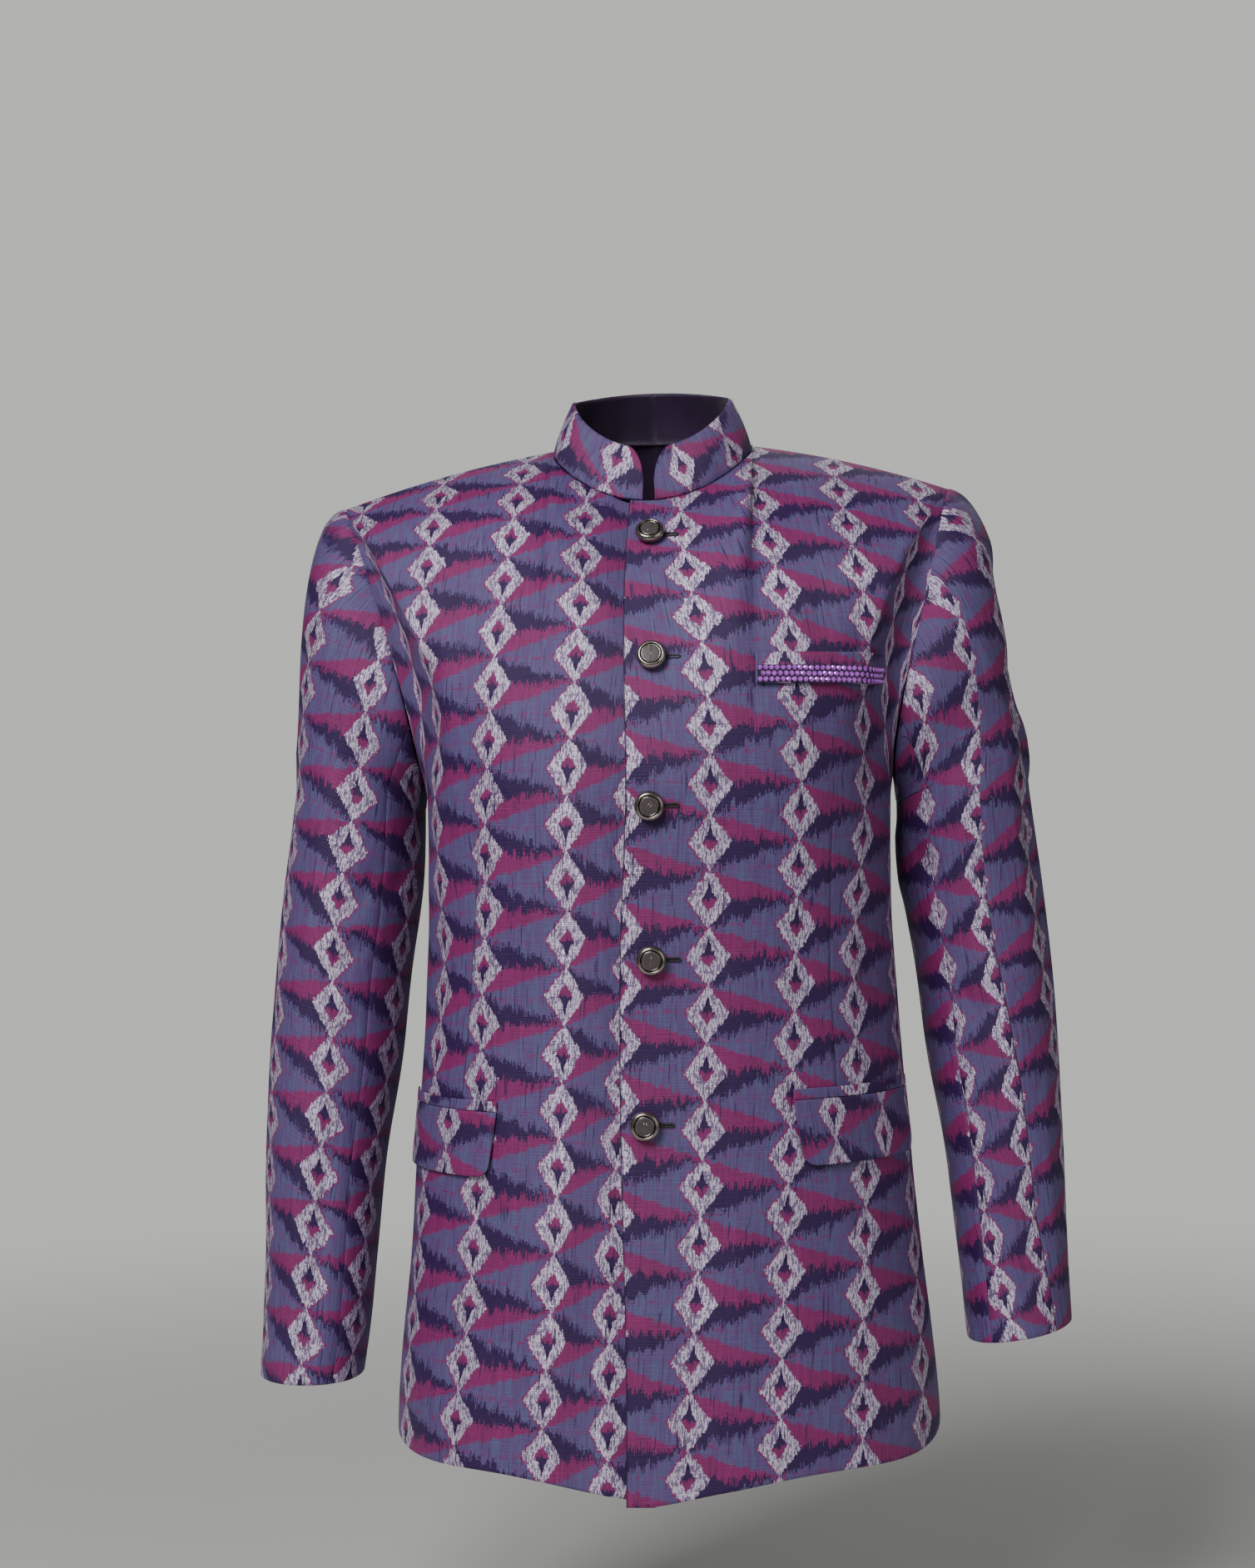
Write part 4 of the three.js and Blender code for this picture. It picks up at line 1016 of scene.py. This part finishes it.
class JacketCloth(bpy.types.PropertyGroup):
    column: length_setting("Column spacing", "Distance between columns of lozenges", COLUMN * MM)
    repeat: length_setting("Repeat", "Height of one lozenge and its crossing", REPEAT * MM)
    thread: length_setting("Thread", "Width of one bundle of warp threads", 0.0007)
    feather: length_setting("Feather", "How far the dyed edges of the warp slip", 0.0042)
    slate: colour_setting("Slate", "Ground of the cloth", (0.395, 0.304, 0.520))
    slate_deep: colour_setting("Deep slate", "Darker threads of the ground", (0.290, 0.222, 0.430))
    slate_cool: colour_setting("Cool slate", "Bluer threads of the ground", (0.315, 0.345, 0.500))
    magenta: colour_setting("Magenta", "First half of each wedge", (0.510, 0.105, 0.385))
    indigo: colour_setting("Indigo", "Second half of each wedge", (0.165, 0.014, 0.285))
    ivory: colour_setting("Ivory", "Undyed threads of the lozenges", (0.850, 0.790, 0.890))
    ivory_deep: colour_setting("Lilac", "Shaded threads of the lozenges", (0.370, 0.265, 0.465))
    lining: colour_setting("Lining", "Plain inner face", (0.230, 0.150, 0.280))


class JacketTrim(bpy.types.PropertyGroup):
    stone: length_setting("Stone", "Width of one stone of the band", 0.0040)
    stone_rows: bpy.props.IntProperty(
        name="Stone rows", description="Rows of stones on the band", default=3, min=1)
    buttonhole: length_setting("Buttonhole", "Length of each worked buttonhole", 0.021)


class JacketStage(bpy.types.PropertyGroup):
    floor: length_setting("Floor", "Height of the floor", -0.95)
    pale: colour_setting("Pale", "Floor and surroundings", (0.86, 0.86, 0.85))
    backdrop: number_setting("Backdrop", "How bright the surroundings look", 0.85)
    surround: number_setting("Surround", "How much light the surroundings give", 0.155)
    key: number_setting("Key light", "Power of the main light", 88, "POWER")
    fill: number_setting("Fill light", "Power of the second and the back light", 12, "POWER")


# ---- pieces ----
def lay_panel(kind, name, grid, normals, borders, lie):
    """One cut panel on the frame. lie says how the figured cloth runs on it."""
    piece = shell(f"{kind}_{name}_cloth", grid, normals, WALL, borders, *lie)
    on_frame(piece, "ikat_cloth", f"{kind}_{name}")


def front_lie(name, grid, width, length, columns):
    """How the figured cloth lies on a front, with the line of its dart and a painted shadow line along its
    pressed edge.
    """
    height = grid[..., 2]
    near = int(np.argmin(np.abs(columns - MID_FRONT)))
    u = column_count(width, FRONT_COLUMNS[name], height[:, near][:, None])
    dart = DARTS[name]
    off = np.abs(grid[..., 0]) - along(dart, "z", "x", height)
    taken = along(dart, "z", "in", height) / COLUMN
    fade = (height - (dart["z"].min() - DART_LINE["below"])) / DART_LINE["fade"]
    taken *= np.clip(fade, 0, 1) * (height < dart["z"].max())
    # The right front is cut from the same cloth turned upside down.
    turn = SIDES[name]["sign"]
    cloth = np.stack([u * turn, length / REPEAT * turn + FRONT_PHASE[name]], -1)
    past = np.stack([(u + taken) * turn, cloth[..., 1]], -1)
    dark = (taken > 0) * DART_LINE["dark"]
    # Painted shadow: a dark line along the pressed edge of the left front, where the overlap's edge would
    # cast its shade.
    if name == "left":
        from_edge = running(grid, 1)
        pressed = from_edge < EDGE_SHADOW_LINE["reach"]
        off = np.where(pressed, -EDGE_SHADOW_LINE["fall"] * from_edge, off)
        dark = np.where(pressed, EDGE_SHADOW_LINE["dark"], dark)
    return cloth, np.stack([off, dark], -1), past


def make_body_panel(name, is_back):
    grid, columns, chest = body_grid(name, is_back)
    normals = grid_normals(grid, grid - np.array([0, BODY_Y, -500]))
    width, length = cloth_measure(grid, int(np.argmin(np.abs(columns))), chest)
    across, height = grid[..., 0], grid[..., 2]
    folds = BACK_FOLDS if is_back else FRONT_FOLDS
    sink = fold_depth(across, height, folds) + slow_waves(across, height, 0.35)
    shown = np.clip(running(grid, 0)[-1:] - running(grid, 0), 0, 30) / 30
    calm, step = 1, 0
    if is_back:
        lie = (np.stack([width / COLUMN * -SIDES[name]["sign"], length / REPEAT], -1),)
    else:
        lie = front_lie(name, grid, width, length, columns)
        calm = smooth(np.clip((np.abs(across) + 2) / 26, 0, 1))
    if name == "right" and not is_back:
        t = np.clip((np.arange(len(grid)) - chest) / (len(grid) - 1 - chest), 0, 1)[:, None]
        edge = mix(along(FRONT_EDGE, "z", "x", height), NECK_EDGE_X, t)
        step = UNDERLAP * smooth(np.clip((across - (edge - UNDER_STEP)) / 12, 0, 1))
    grid = grid - normals * (sink * shown * calm + step)[..., None]
    borders = ("edge", "seam", "seam" if is_back else "edge", "seam")
    lay_panel("back" if is_back else "front", name, grid, normals, borders, lie)


def make_sleeve_panel(name, under):
    turns_front = ARM_TURNS[False]
    turns_back = [turn - 360 for turn in ARM_TURNS[True]]
    if under:
        turns = [t for t in turns_front if t >= FRONT_SEAM_TURN]
        turns += [t + 360 for t in reversed(turns_back) if 180 < t + 360 <= BACK_SEAM_TURN]
    else:
        turns = [t for t in reversed(turns_back) if t + 360 >= BACK_SEAM_TURN]
        turns += [t for t in turns_front if 0 < t <= FRONT_SEAM_TURN]
    grid, turns = sleeve_grid(name, turns)
    middle = np.array([SIDES[name]["sign"] * 240, 0, -400])
    normals = grid_normals(grid, (grid - middle) * np.array([1, 1, 0]))
    centre = int(np.argmin(np.abs(turns - (180 if under else 60))))
    width, length = cloth_measure(grid, centre, 60)
    sleeve = SLEEVE_CLOTH[name, under]
    if under:
        u = (width - sleeve["at"]) / COLUMN
    else:
        u = column_count(width, SLEEVE_COLUMNS[name], grid[:, centre, 2][:, None])
    u *= SIDES[name]["sign"]
    lie = [np.stack([u, sleeve["turn_v"] * (-length / REPEAT - sleeve["v"])], -1)]
    if "crease" in sleeve:
        crease = sleeve["crease"]
        # Painted shadow: the dark line of the crease, fading in below the sleeve head.
        dark = np.clip((length - 20) / 60, 0, 1) * crease["dark"]
        lie.append(np.stack([(-crease["u"] - u) * COLUMN, dark], -1))
        lie.append(np.stack([u - crease["hides"], -length / REPEAT - crease["v"]], -1))
    around = np.broadcast_to(turns, grid.shape[:2])
    sink = fold_depth(around, grid[..., 2], SLEEVE_FOLDS[name]) + slow_waves(around, grid[..., 2], 0.3)
    reach = running(grid, 0)
    shown = np.clip(reach, 0, 30) / 30 * (0.3 + 0.7 * np.clip(reach[-1:] - reach, 0, 30) / 30)
    grid = grid - normals * (sink * shown)[..., None]
    borders = ("seam", "edge", "seam", "seam")
    lay_panel("undersleeve" if under else "topsleeve", name, grid, normals, borders, lie)


def collar_lie(turns, run, heights):
    """The two halves meet at the centre back, each with its threads leaning toward the opening."""
    left_half = turns <= 180
    from_edge = np.where(left_half, run, run[-1] - run)[None, :]
    u_out = (from_edge + COLLAR_LEAN * (heights - 20)) / COLUMN
    halves = []
    for own in (COLLAR_CLOTH["left"], COLLAR_CLOTH["right"]):
        u = own["first"] + own["close"] * (u_out - own["at"])
        v = heights / REPEAT - (own["v"] + own["climb"] * (u_out - own["climb_from"]))
        halves.append(np.stack([u, v], -1))
    return np.where(left_half[None, :, None], *halves)


def make_collar():
    first = math.degrees(math.asin(COLLAR["gap"] / 2 / NECK["half"]))
    half = NECK_TURNS[False][1:] + NECK_TURNS[True][::-1][1:]
    corners = [0, *half]
    # Turns close to each front end, where the corner is rounded.
    near = [first, first + 0.25, first + 0.7, first + 1.4, 5.5, 6.8, 8.5, 10.5, 12.5, 14.5]
    for turn, after in zip(half[:-1], half[1:]):
        near += [mix(turn, after, k / 6) for k in range(6)]
    turns = np.array([*near, 180, *[360 - t for t in reversed(near)]])
    rows = [0, 0.03, 0.1, *[k / 14 for k in range(2, 13)], 0.93, 0.98, 1]
    grid = np.zeros((len(rows), len(turns), 3))
    heights = np.zeros(grid.shape[:2])
    for j, turn in enumerate(turns):
        t = min(turn, 360 - turn)
        k = min(max(int(np.searchsorted(corners, t)) - 1, 0), len(corners) - 2)
        share = (t - corners[k]) / (corners[k + 1] - corners[k])
        foot = mix(neck_point(corners[k]), neck_point(corners[k + 1]), share)
        if turn > 180:
            foot[0] *= -1
        s, c = sine_cosine(turn)
        end = "front" if c >= 0 else "back"
        top = mix(COLLAR["side_z"], COLLAR[end + "_z"], abs(c) ** COLLAR["curve"])
        head = np.array([COLLAR["half"] * s, COLLAR[end] * abs(c), top])
        height = np.linalg.norm(foot - head)
        run = math.radians(t - first) * COLLAR_CORNER["radius"]
        corner = min(max(1 - run / COLLAR_CORNER["along"], 0), 1)
        most = 1 - COLLAR_CORNER["down"] / height * (1 - math.sqrt(1 - corner**2))
        out = np.array([s, -c, 0])
        for i, share in enumerate(rows):
            r = mix(-SEAM / height, most, share)
            grid[i, j] = mix(foot, head, r) + out * COLLAR["bulge"] * r * (1 - r)
            heights[i, j] = r * height
    normals = grid_normals(grid, (grid - np.array([0, 0, 10])) * np.array([1, 1, 0]))
    cloth = collar_lie(turns, running(grid, 1)[len(rows) // 2], heights)
    piece = shell("collar_cloth", grid, normals, COLLAR_WALL, ("seam", "edge", "edge", "edge"), cloth)
    on_frame(piece, "ikat_cloth", "collar")


def lying_grid(side, us, vs, lift, spot):
    """Points and normals of a piece that lies on a front, from the column and height of each."""
    grid = np.zeros((len(vs), len(us), 3))
    normals = np.zeros_like(grid)
    for i, v in enumerate(vs):
        for j, u in enumerate(us):
            s, z = spot(u, v)
            n = front_normal(side, s, z)
            normals[i, j] = n
            grid[i, j] = front_at(side, s, z) + n * (lift(u, v) if callable(lift) else lift)
    return grid, normals


def make_pocket(name):
    side = SIDES[name]
    x, top = POCKETS[name]["x"], POCKETS[name]["top"]
    round_to = round_front(side, x, top - POCKET["level"], POCKET["length"])
    fine = even_steps(26)
    grid, normals = lying_grid(
        side, fine, finer([0, 0.34, 0.67, 1], 1), LIFT + TRIM_WALL,
        lambda u, v: (round_to(u), top - v * POCKET["jet"]))
    u = np.broadcast_to(np.array(fine) * POCKET["length"] / COLUMN, grid.shape[:2]) * side["sign"]
    cloth = np.stack([u + JET_PHASE, grid[..., 2] / REPEAT], -1)
    jet = shell(f"jet_{name}_cloth", grid, normals, TRIM_WALL, ("edge",) * 4, cloth, inside=False)
    on_frame(jet, "ikat_cloth", f"jet_{name}")

    flap_top = top - POCKET["jet"] - SEAM

    def spot(u, v):
        eased = mix(u, 0.5 - 0.5 * math.cos(math.pi * u), 0.5)
        end = min(eased, 1 - eased) * POCKET["length"]
        near = min(max(1 - end / POCKET["corner"], 0), 1)
        drop = POCKET["flap"] - POCKET["corner"] * (1 - math.sqrt(1 - near**2))
        slant = (1 - 2 * eased) * POCKET["slant"] * v / POCKET["length"]
        return round_to(eased + slant), flap_top - v * drop

    def stand(u, v):
        off = FLAP_STAND * v**2 * (0.7 + 0.3 * math.sin(5 * u + 1))
        return LIFT + TRIM_WALL + off + FLAP_WAVE * math.sin(9 * u) * v

    grid, normals = lying_grid(side, even_steps(34), even_steps(14), stand, spot)
    run = running(grid, 1)[:1]
    own = FLAP_CLOTH[name]
    cloth = np.stack([(run - own["at"]) / own["apart"] * side["sign"] + 0 * grid[..., 0],
                      own["turn_v"] * (grid[..., 2] - own["z"]) / REPEAT], -1)
    flap = shell(f"flap_{name}_cloth", grid, normals, TRIM_WALL, ("edge",) * 4, cloth)
    on_frame(flap, "ikat_cloth", f"flap_{name}")


def make_welt():
    side = SIDES["left"]
    zs = [WELT["top"] - WELT["height"] * k / 2 for k in range(3)]
    rounds = [round_front(side, WELT["x"], z, WELT["length"]) for z in zs]

    def spot(u, v):
        s = np.interp(v, (0, 0.5, 1), [float(r(u)) for r in rounds])
        return s, WELT["top"] - WELT["height"] * v

    grid, normals = lying_grid(side, even_steps(24), even_steps(8), WELT["lift"] + TRIM_WALL, spot)
    run = running(grid, 1)[:1]
    u = (run - WELT_CLOTH["at"]) / COLUMN + 0 * grid[..., 0]
    cloth = np.stack([u, (grid[..., 2] - WELT_CLOTH["z"]) / REPEAT], -1)
    welt = shell("chest_welt_cloth", grid, normals, TRIM_WALL, ("edge",) * 4, cloth, inside=False)
    on_frame(welt, "ikat_cloth", "chest_welt")
    return spot


def join_parts(name, parts, material, smooth_shade):
    """One mesh of many like parts, each a list of points and a list of faces."""
    points, faces = [], []
    for part_points, part_faces in parts:
        base = len(points)
        points += [tuple(p * MM) for p in part_points]
        faces += [[base + k for k in face] for face in part_faces]
    mesh = bpy.data.meshes.new(name)
    mesh.from_pydata(points, [], faces)
    mesh.polygons.foreach_set("use_smooth", [smooth_shade] * len(faces))
    mesh.materials.append(material)
    mesh.update()
    return put_in_scene(name, mesh)


def turned(profile, sides, at, across, up, out):
    """A part turned about its own axis, from rows of radius and height."""
    points, faces, rings = [], [], []
    for r, h in profile:
        ring = []
        for k in range(1 if r == 0 else sides):
            a = 2 * math.pi * k / sides
            ring.append(len(points))
            points.append(at + across * r * math.cos(a) + up * r * math.sin(a) + out * h)
        rings.append(ring)
    for a, b in zip(rings[:-1], rings[1:]):
        for k in range(sides):
            n = (k + 1) % sides
            if len(a) == 1:
                faces.append([a[0], b[k], b[n]])
            elif len(b) == 1:
                faces.append([a[n], a[k], b[0]])
            else:
                faces.append([a[n], a[k], b[k], b[n]])
    return points, faces


def make_stone_band(spot):
    side = SIDES["left"]
    trim = bpy.context.scene.jacket_trim
    size = trim.stone / MM
    top = 1 - BAND["height"] / WELT["height"]
    lift = WELT["lift"] + TRIM_WALL + SEAM

    def inner(u, v):
        along_welt = mix(BAND["inset"], WELT["length"] - BAND["inset"], u) / WELT["length"]
        return spot(along_welt, top + v * (1 - top) * BAND["fill"])

    grid, normals = lying_grid(side, even_steps(24), even_steps(2), lift + TAPE["thick"], inner)
    cloth = np.stack([grid[..., 0] * 0, grid[..., 2] / REPEAT], -1)
    tape = shell("stone_band_tape", grid, normals, TAPE["wall"], ("edge",) * 4, cloth, inside=False)
    tape.data.materials.clear()
    tape.data.materials.append(dark_thread())
    on_frame(tape, "purple_stones", "stone_band")

    profile = [(size * r, h) for r, h in STONE_CUT]
    stones = []
    pitch = size * STONES["pitch"]
    count = int(WELT["length"] / pitch)
    for row in range(trim.stone_rows):
        for k in range(count - row % 2):
            u = (k + 0.55 + 0.5 * (row % 2)) * pitch / WELT["length"]
            s, z = inner(u, (row + 0.5) / trim.stone_rows)
            n = front_normal(side, s, z)
            across = unit(np.cross([0, 0, 1], n))
            at = front_at(side, s, z) + n * (lift + TAPE["thick"])
            tilt = n + STONES["tilt"] * across * math.sin(k * 7.7 + row * 3.1)
            tilt = tilt + np.array([0, 0, STONES["tilt"] * math.sin(k * 5.3 + row)])
            turn = across * math.cos(k * 0.9 + row) + np.cross(n, across) * math.sin(k * 0.9 + row)
            stones.append(turned(profile, STONES["sides"], at, turn, np.cross(n, turn), unit(tilt)))
    on_frame(join_parts("stones", stones, stone_glass(), False), "purple_stones")


def button_frame(x, z):
    side = SIDES["left"]
    s = column_at(side, x, z)
    n = front_normal(side, s, z)
    across = unit(np.array([1.0, 0, 0]) - n * n[0])
    return front_at(side, s, z), across, np.cross(n, across), n


def make_button(number, x, z):
    r, h, stand = BUTTON["radius"], BUTTON["height"], BUTTON["stand"]
    recess = BUTTON["recess"]
    floor = stand + h - BUTTON["sink"]
    at, across, up, out = button_frame(x, z)
    top = stand + h
    rim_profile = [
        (0, 0.4), (BUTTON["shank"], 0.4), (BUTTON["shank"], stand), (r - 1.9, stand),
        (r - 1.3, stand + 0.15), (r - 0.5, stand + 0.8), (r - 0.1, stand + 1.8), (r, stand + 2.6),
        (r - 0.15, stand + 3.5), (r - 0.55, stand + 4.4), (r - 1.1, stand + 5.1),
        (r - 1.7, top - 0.05), (recess + 0.75, top + 0.2), (recess + 0.3, top + 0.12),
        (recess + 0.06, top - 0.25), (recess, floor + 0.1), (recess - 0.2, floor), (0, floor),
    ]
    rim_part = turned(rim_profile, RIM_SIDES, at, across, up, out)
    rim = join_parts(f"button_{number}_metal", [rim_part], gunmetal(), True)
    # Painted shade: the groove's faces take the near-black finish.
    rim.data.materials.append(groove_black())
    for face in list(rim.data.polygons)[GROOVE_FROM * RIM_SIDES:]:
        face.material_index = 1
    on_frame(rim, "button_metal", f"button_{number}_rim")
    edge = recess - 1.05
    disc_profile = [
        (0, floor + 0.3), (edge, floor + 0.3), (edge, floor + 1.1), (edge - 0.12, floor + 1.35),
        (edge - 0.5, floor + 1.55), (edge - 1.2, floor + 1.6), (0, floor + 1.66),
    ]
    disc_part = turned(disc_profile, DISC_SIDES, at, across, up, out)
    disc = join_parts(f"button_{number}_disc", [disc_part], button_disc(), True)
    on_frame(disc, "button_inset", f"button_{number}_face")
    s, c = sine_cosine(BAR["leans"][number - 1])
    way = across * c + up * s
    beside = np.cross(out, way)
    lip = [(edge + 0.04, floor + 0.3), (edge + 0.34, floor + 0.35), (edge + 0.34, floor + 1.3),
           (edge + 0.16, floor + 1.62), (edge - 0.16, floor + 1.66), (edge - 0.3, floor + 1.5)]
    lines = [turned(lip, DISC_SIDES, at, across, up, out)]
    for shift in (-BAR["apart"], BAR["apart"]) if number in BAR["double"] else (0.0,):
        length = math.sqrt((edge - 1.0) ** 2 - shift**2)
        base = at + out * (floor + 1.5) + beside * shift
        ends = [base + way * length * e + beside * BAR["half"] * w + out * t
                for e in (-1, 1) for w in (-1, 1) for t in (0, BAR["high"])]
        lines.append((ends, BOX_FACES))
    inlay = join_parts(f"button_{number}_inlay", lines, gunmetal(), True)
    on_frame(inlay, "button_metal")


def make_buttonholes():
    side = SIDES["left"]
    length = bpy.context.scene.jacket_trim.buttonhole / MM
    loops = []
    for x, z in BUTTONS:
        middle, reach = x + length / 2 - HOLE["before"], length / 2
        path = []
        for k in range(HOLE_STEPS):
            a = 2 * math.pi * k / HOLE_STEPS
            grow = HOLE["end"] if math.cos(a) > HOLE["end_from"] else 1.0
            px = middle + reach * math.copysign(abs(math.cos(a)) ** 0.5, math.cos(a))
            pz = z + HOLE["half"] * grow * math.sin(a)
            s = column_at(side, px, pz)
            n = front_normal(side, s, pz)
            path.append((front_at(side, s, pz) + n * HOLE["lift"], n))
        points, faces = [], []
        for k, (p, n) in enumerate(path):
            beside = np.cross(n, unit(path[(k + 1) % HOLE_STEPS][0] - path[k - 1][0]))
            thick = HOLE["thick"] + HOLE["twist"] * math.sin(k * 2.9)
            for m in range(HOLE_SIDES):
                a = 2 * math.pi * m / HOLE_SIDES
                points.append(p + (beside * math.cos(a) + n * math.sin(a)) * thick)
        for k in range(HOLE_STEPS):
            for m in range(HOLE_SIDES):
                j, q = (k + 1) % HOLE_STEPS, (m + 1) % HOLE_SIDES
                faces.append([row * HOLE_SIDES + col for row, col in ((k, m), (k, q), (j, q), (j, m))])
        loops.append((points, faces))
    on_frame(join_parts("buttonholes", loops, dark_thread(), True), "ikat_cloth")


# ---- the stage ----
# Metres: half the floor's side, and where it begins and ends to fade.
FLOOR = {"half": 40, "near": 1.1, "far": 2.6}
# Where each light stands, what it faces, its side, and the setting of its power.
LIGHTS = {
    "key": ((-1.1, -2.2, 1.5), (0, 0, -0.30), 1.4, "key"),
    "fill": ((2.2, -1.7, 0.4), (0, 0, -0.40), 2.2, "fill"),
    "back": ((0.4, 2.4, 1.4), (0, 0, -0.30), 2.0, "fill"),
}
CAMERA = {
    "turn": 4, "roll": 1, "sensor": 36, "lens": 72.69, "shift": -0.0046,
    "at": (0.11358, -1.8967, -0.248),
}


def fade_floor(b):
    """Lets the floor pass into the room's own paleness away from the jacket."""
    place = b.put("ShaderNodeVectorMath", operation="LENGTH")
    b.tree.links.new(b.put("ShaderNodeTexCoord").outputs["Object"], place.inputs[0])
    fade = b.put("ShaderNodeMapRange", interpolation_type="SMOOTHSTEP")
    b.feed(fade.inputs["Value"], place.outputs["Value"])
    reach = {"From Min": FLOOR["near"], "From Max": FLOOR["far"], "To Min": 1, "To Max": 0}
    for name, value in reach.items():
        fade.inputs[name].default_value = value
    b.give("Alpha", fade.outputs[0])


def make_floor(stage):
    mesh = bpy.data.meshes.new("floor")
    corners = [(x * FLOOR["half"], y * FLOOR["half"], stage.floor)
               for x, y in ((-1, -1), (1, -1), (1, 1), (-1, 1))]
    mesh.from_pydata(corners, [], [(0, 1, 2, 3)])
    b = Bench("floor_look")
    b.give("Base Color", b.blend(b.by_place(3), stage.pale, [part * 0.985 for part in stage.pale]))
    b.surface(Roughness=0.9, Specular_IOR_Level=0.1)
    fade_floor(b)
    mesh.materials.append(b.material)
    put_in_scene("floor", mesh)


def make_room(stage):
    """Pale surroundings, which look brighter to the camera than the light they give."""
    world = bpy.data.worlds.new("room")
    world.use_nodes = True
    room = world.node_tree
    glow = room.nodes["Background"]
    glow.inputs[0].default_value = (*linear(stage.pale), 1)
    seen = room.nodes.new("ShaderNodeLightPath")
    level = room.nodes.new("ShaderNodeMapRange")
    level.inputs["To Min"].default_value = stage.surround
    level.inputs["To Max"].default_value = stage.backdrop
    room.links.new(seen.outputs["Is Camera Ray"], level.inputs["Value"])
    room.links.new(level.outputs[0], glow.inputs[1])
    bpy.context.scene.world = world


def make_lights(stage):
    for name, (at, to, size, power) in LIGHTS.items():
        light = bpy.data.lights.new(name, "AREA")
        light.energy = getattr(stage, power)
        light.size = size
        lamp = put_in_scene(name, light)
        lamp.location = at
        lamp.rotation_euler = (Vector(to) - Vector(at)).to_track_quat("-Z", "Y").to_euler()


def make_camera():
    """A level view from a little to the wearer's left, nearly square to the chest."""
    s, c = sine_cosine(CAMERA["turn"])
    ahead, level, plumb = Vector((-s, c, 0)), Vector((c, s, 0)), Vector((0, 0, 1))
    s, c = sine_cosine(CAMERA["roll"])
    right, up = level * c - plumb * s, level * s + plumb * c
    lens = bpy.data.cameras.new("camera")
    lens.sensor_fit = "HORIZONTAL"
    lens.sensor_width = CAMERA["sensor"]
    lens.lens = CAMERA["lens"]
    lens.shift_x = CAMERA["shift"]
    place = Matrix((right, up, -ahead)).transposed().to_4x4()
    place.translation = Vector(CAMERA["at"])
    camera = put_in_scene("camera", lens)
    camera.matrix_world = place
    bpy.context.scene.camera = camera


# ---- operators ----
class JACKET_OT_fronts(bpy.types.Operator):
    """Cut and lay the two fronts, with their darts"""
    bl_idname = "jacket.fronts"
    bl_label = "Fronts"

    def execute(self, context):
        make_body_panel("left", False)
        make_body_panel("right", False)
        return {"FINISHED"}


class JACKET_OT_back(bpy.types.Operator):
    """Cut and lay the two halves of the back"""
    bl_idname = "jacket.back"
    bl_label = "Back"

    def execute(self, context):
        make_body_panel("left", True)
        make_body_panel("right", True)
        return {"FINISHED"}


class JACKET_OT_sleeves(bpy.types.Operator):
    """Set in the top and under panel of each sleeve"""
    bl_idname = "jacket.sleeves"
    bl_label = "Sleeves"

    def execute(self, context):
        for name in SIDES:
            for under in (False, True):
                make_sleeve_panel(name, under)
        return {"FINISHED"}


class JACKET_OT_collar(bpy.types.Operator):
    """Stand the collar round the neck"""
    bl_idname = "jacket.collar"
    bl_label = "Collar"

    def execute(self, context):
        make_collar()
        return {"FINISHED"}


class JACKET_OT_pockets(bpy.types.Operator):
    """Lay the jets and flaps of the hip pockets"""
    bl_idname = "jacket.pockets"
    bl_label = "Hip pockets"

    def execute(self, context):
        for name in SIDES:
            make_pocket(name)
        return {"FINISHED"}


class JACKET_OT_welt(bpy.types.Operator):
    """Lay the chest welt and its band of stones"""
    bl_idname = "jacket.welt"
    bl_label = "Chest welt"

    def execute(self, context):
        make_stone_band(make_welt())
        return {"FINISHED"}


class JACKET_OT_buttons(bpy.types.Operator):
    """Sew on the buttons and work their buttonholes"""
    bl_idname = "jacket.buttons"
    bl_label = "Buttons"

    def execute(self, context):
        for k, (x, z) in enumerate(BUTTONS):
            make_button(k + 1, x, z)
        make_buttonholes()
        return {"FINISHED"}


class JACKET_OT_stage(bpy.types.Operator):
    """Set the floor, the lights and the camera"""
    bl_idname = "jacket.stage"
    bl_label = "Stage"

    def execute(self, context):
        stage = context.scene.jacket_stage
        make_floor(stage)
        make_room(stage)
        make_lights(stage)
        make_camera()
        return {"FINISHED"}


class JACKET_PT_panel(bpy.types.Panel):
    """Lists the settings and the pieces of the jacket"""
    bl_idname = "JACKET_PT_panel"
    bl_label = "Jacket"
    bl_space_type = "VIEW_3D"
    bl_region_type = "UI"
    bl_category = "Jacket"

    def draw(self, context):
        for name in SETTINGS:
            group = getattr(context.scene, name)
            box = self.layout.box()
            for key in group.__annotations__:
                box.prop(group, key)
        for operator in OPERATORS:
            self.layout.operator(operator.bl_idname)


OPERATORS = (
    JACKET_OT_stage, JACKET_OT_fronts, JACKET_OT_back, JACKET_OT_sleeves, JACKET_OT_collar,
    JACKET_OT_pockets, JACKET_OT_welt, JACKET_OT_buttons,
)
SETTINGS = {"jacket_cloth": JacketCloth, "jacket_trim": JacketTrim, "jacket_stage": JacketStage}


def register():
    for kind in (*SETTINGS.values(), *OPERATORS, JACKET_PT_panel):
        bpy.utils.register_class(kind)
    for name, kind in SETTINGS.items():
        setattr(bpy.types.Scene, name, bpy.props.PointerProperty(type=kind))


def unregister():
    for name in SETTINGS:
        delattr(bpy.types.Scene, name)
    for kind in (JACKET_PT_panel, *reversed(OPERATORS), *SETTINGS.values()):
        bpy.utils.unregister_class(kind)


def main():
    register()
    bpy.ops.jacket.stage()
    bpy.ops.jacket.fronts()
    bpy.ops.jacket.back()
    bpy.ops.jacket.sleeves()
    bpy.ops.jacket.collar()
    bpy.ops.jacket.pockets()
    bpy.ops.jacket.welt()
    bpy.ops.jacket.buttons()


if __name__ == "__main__":
    main()
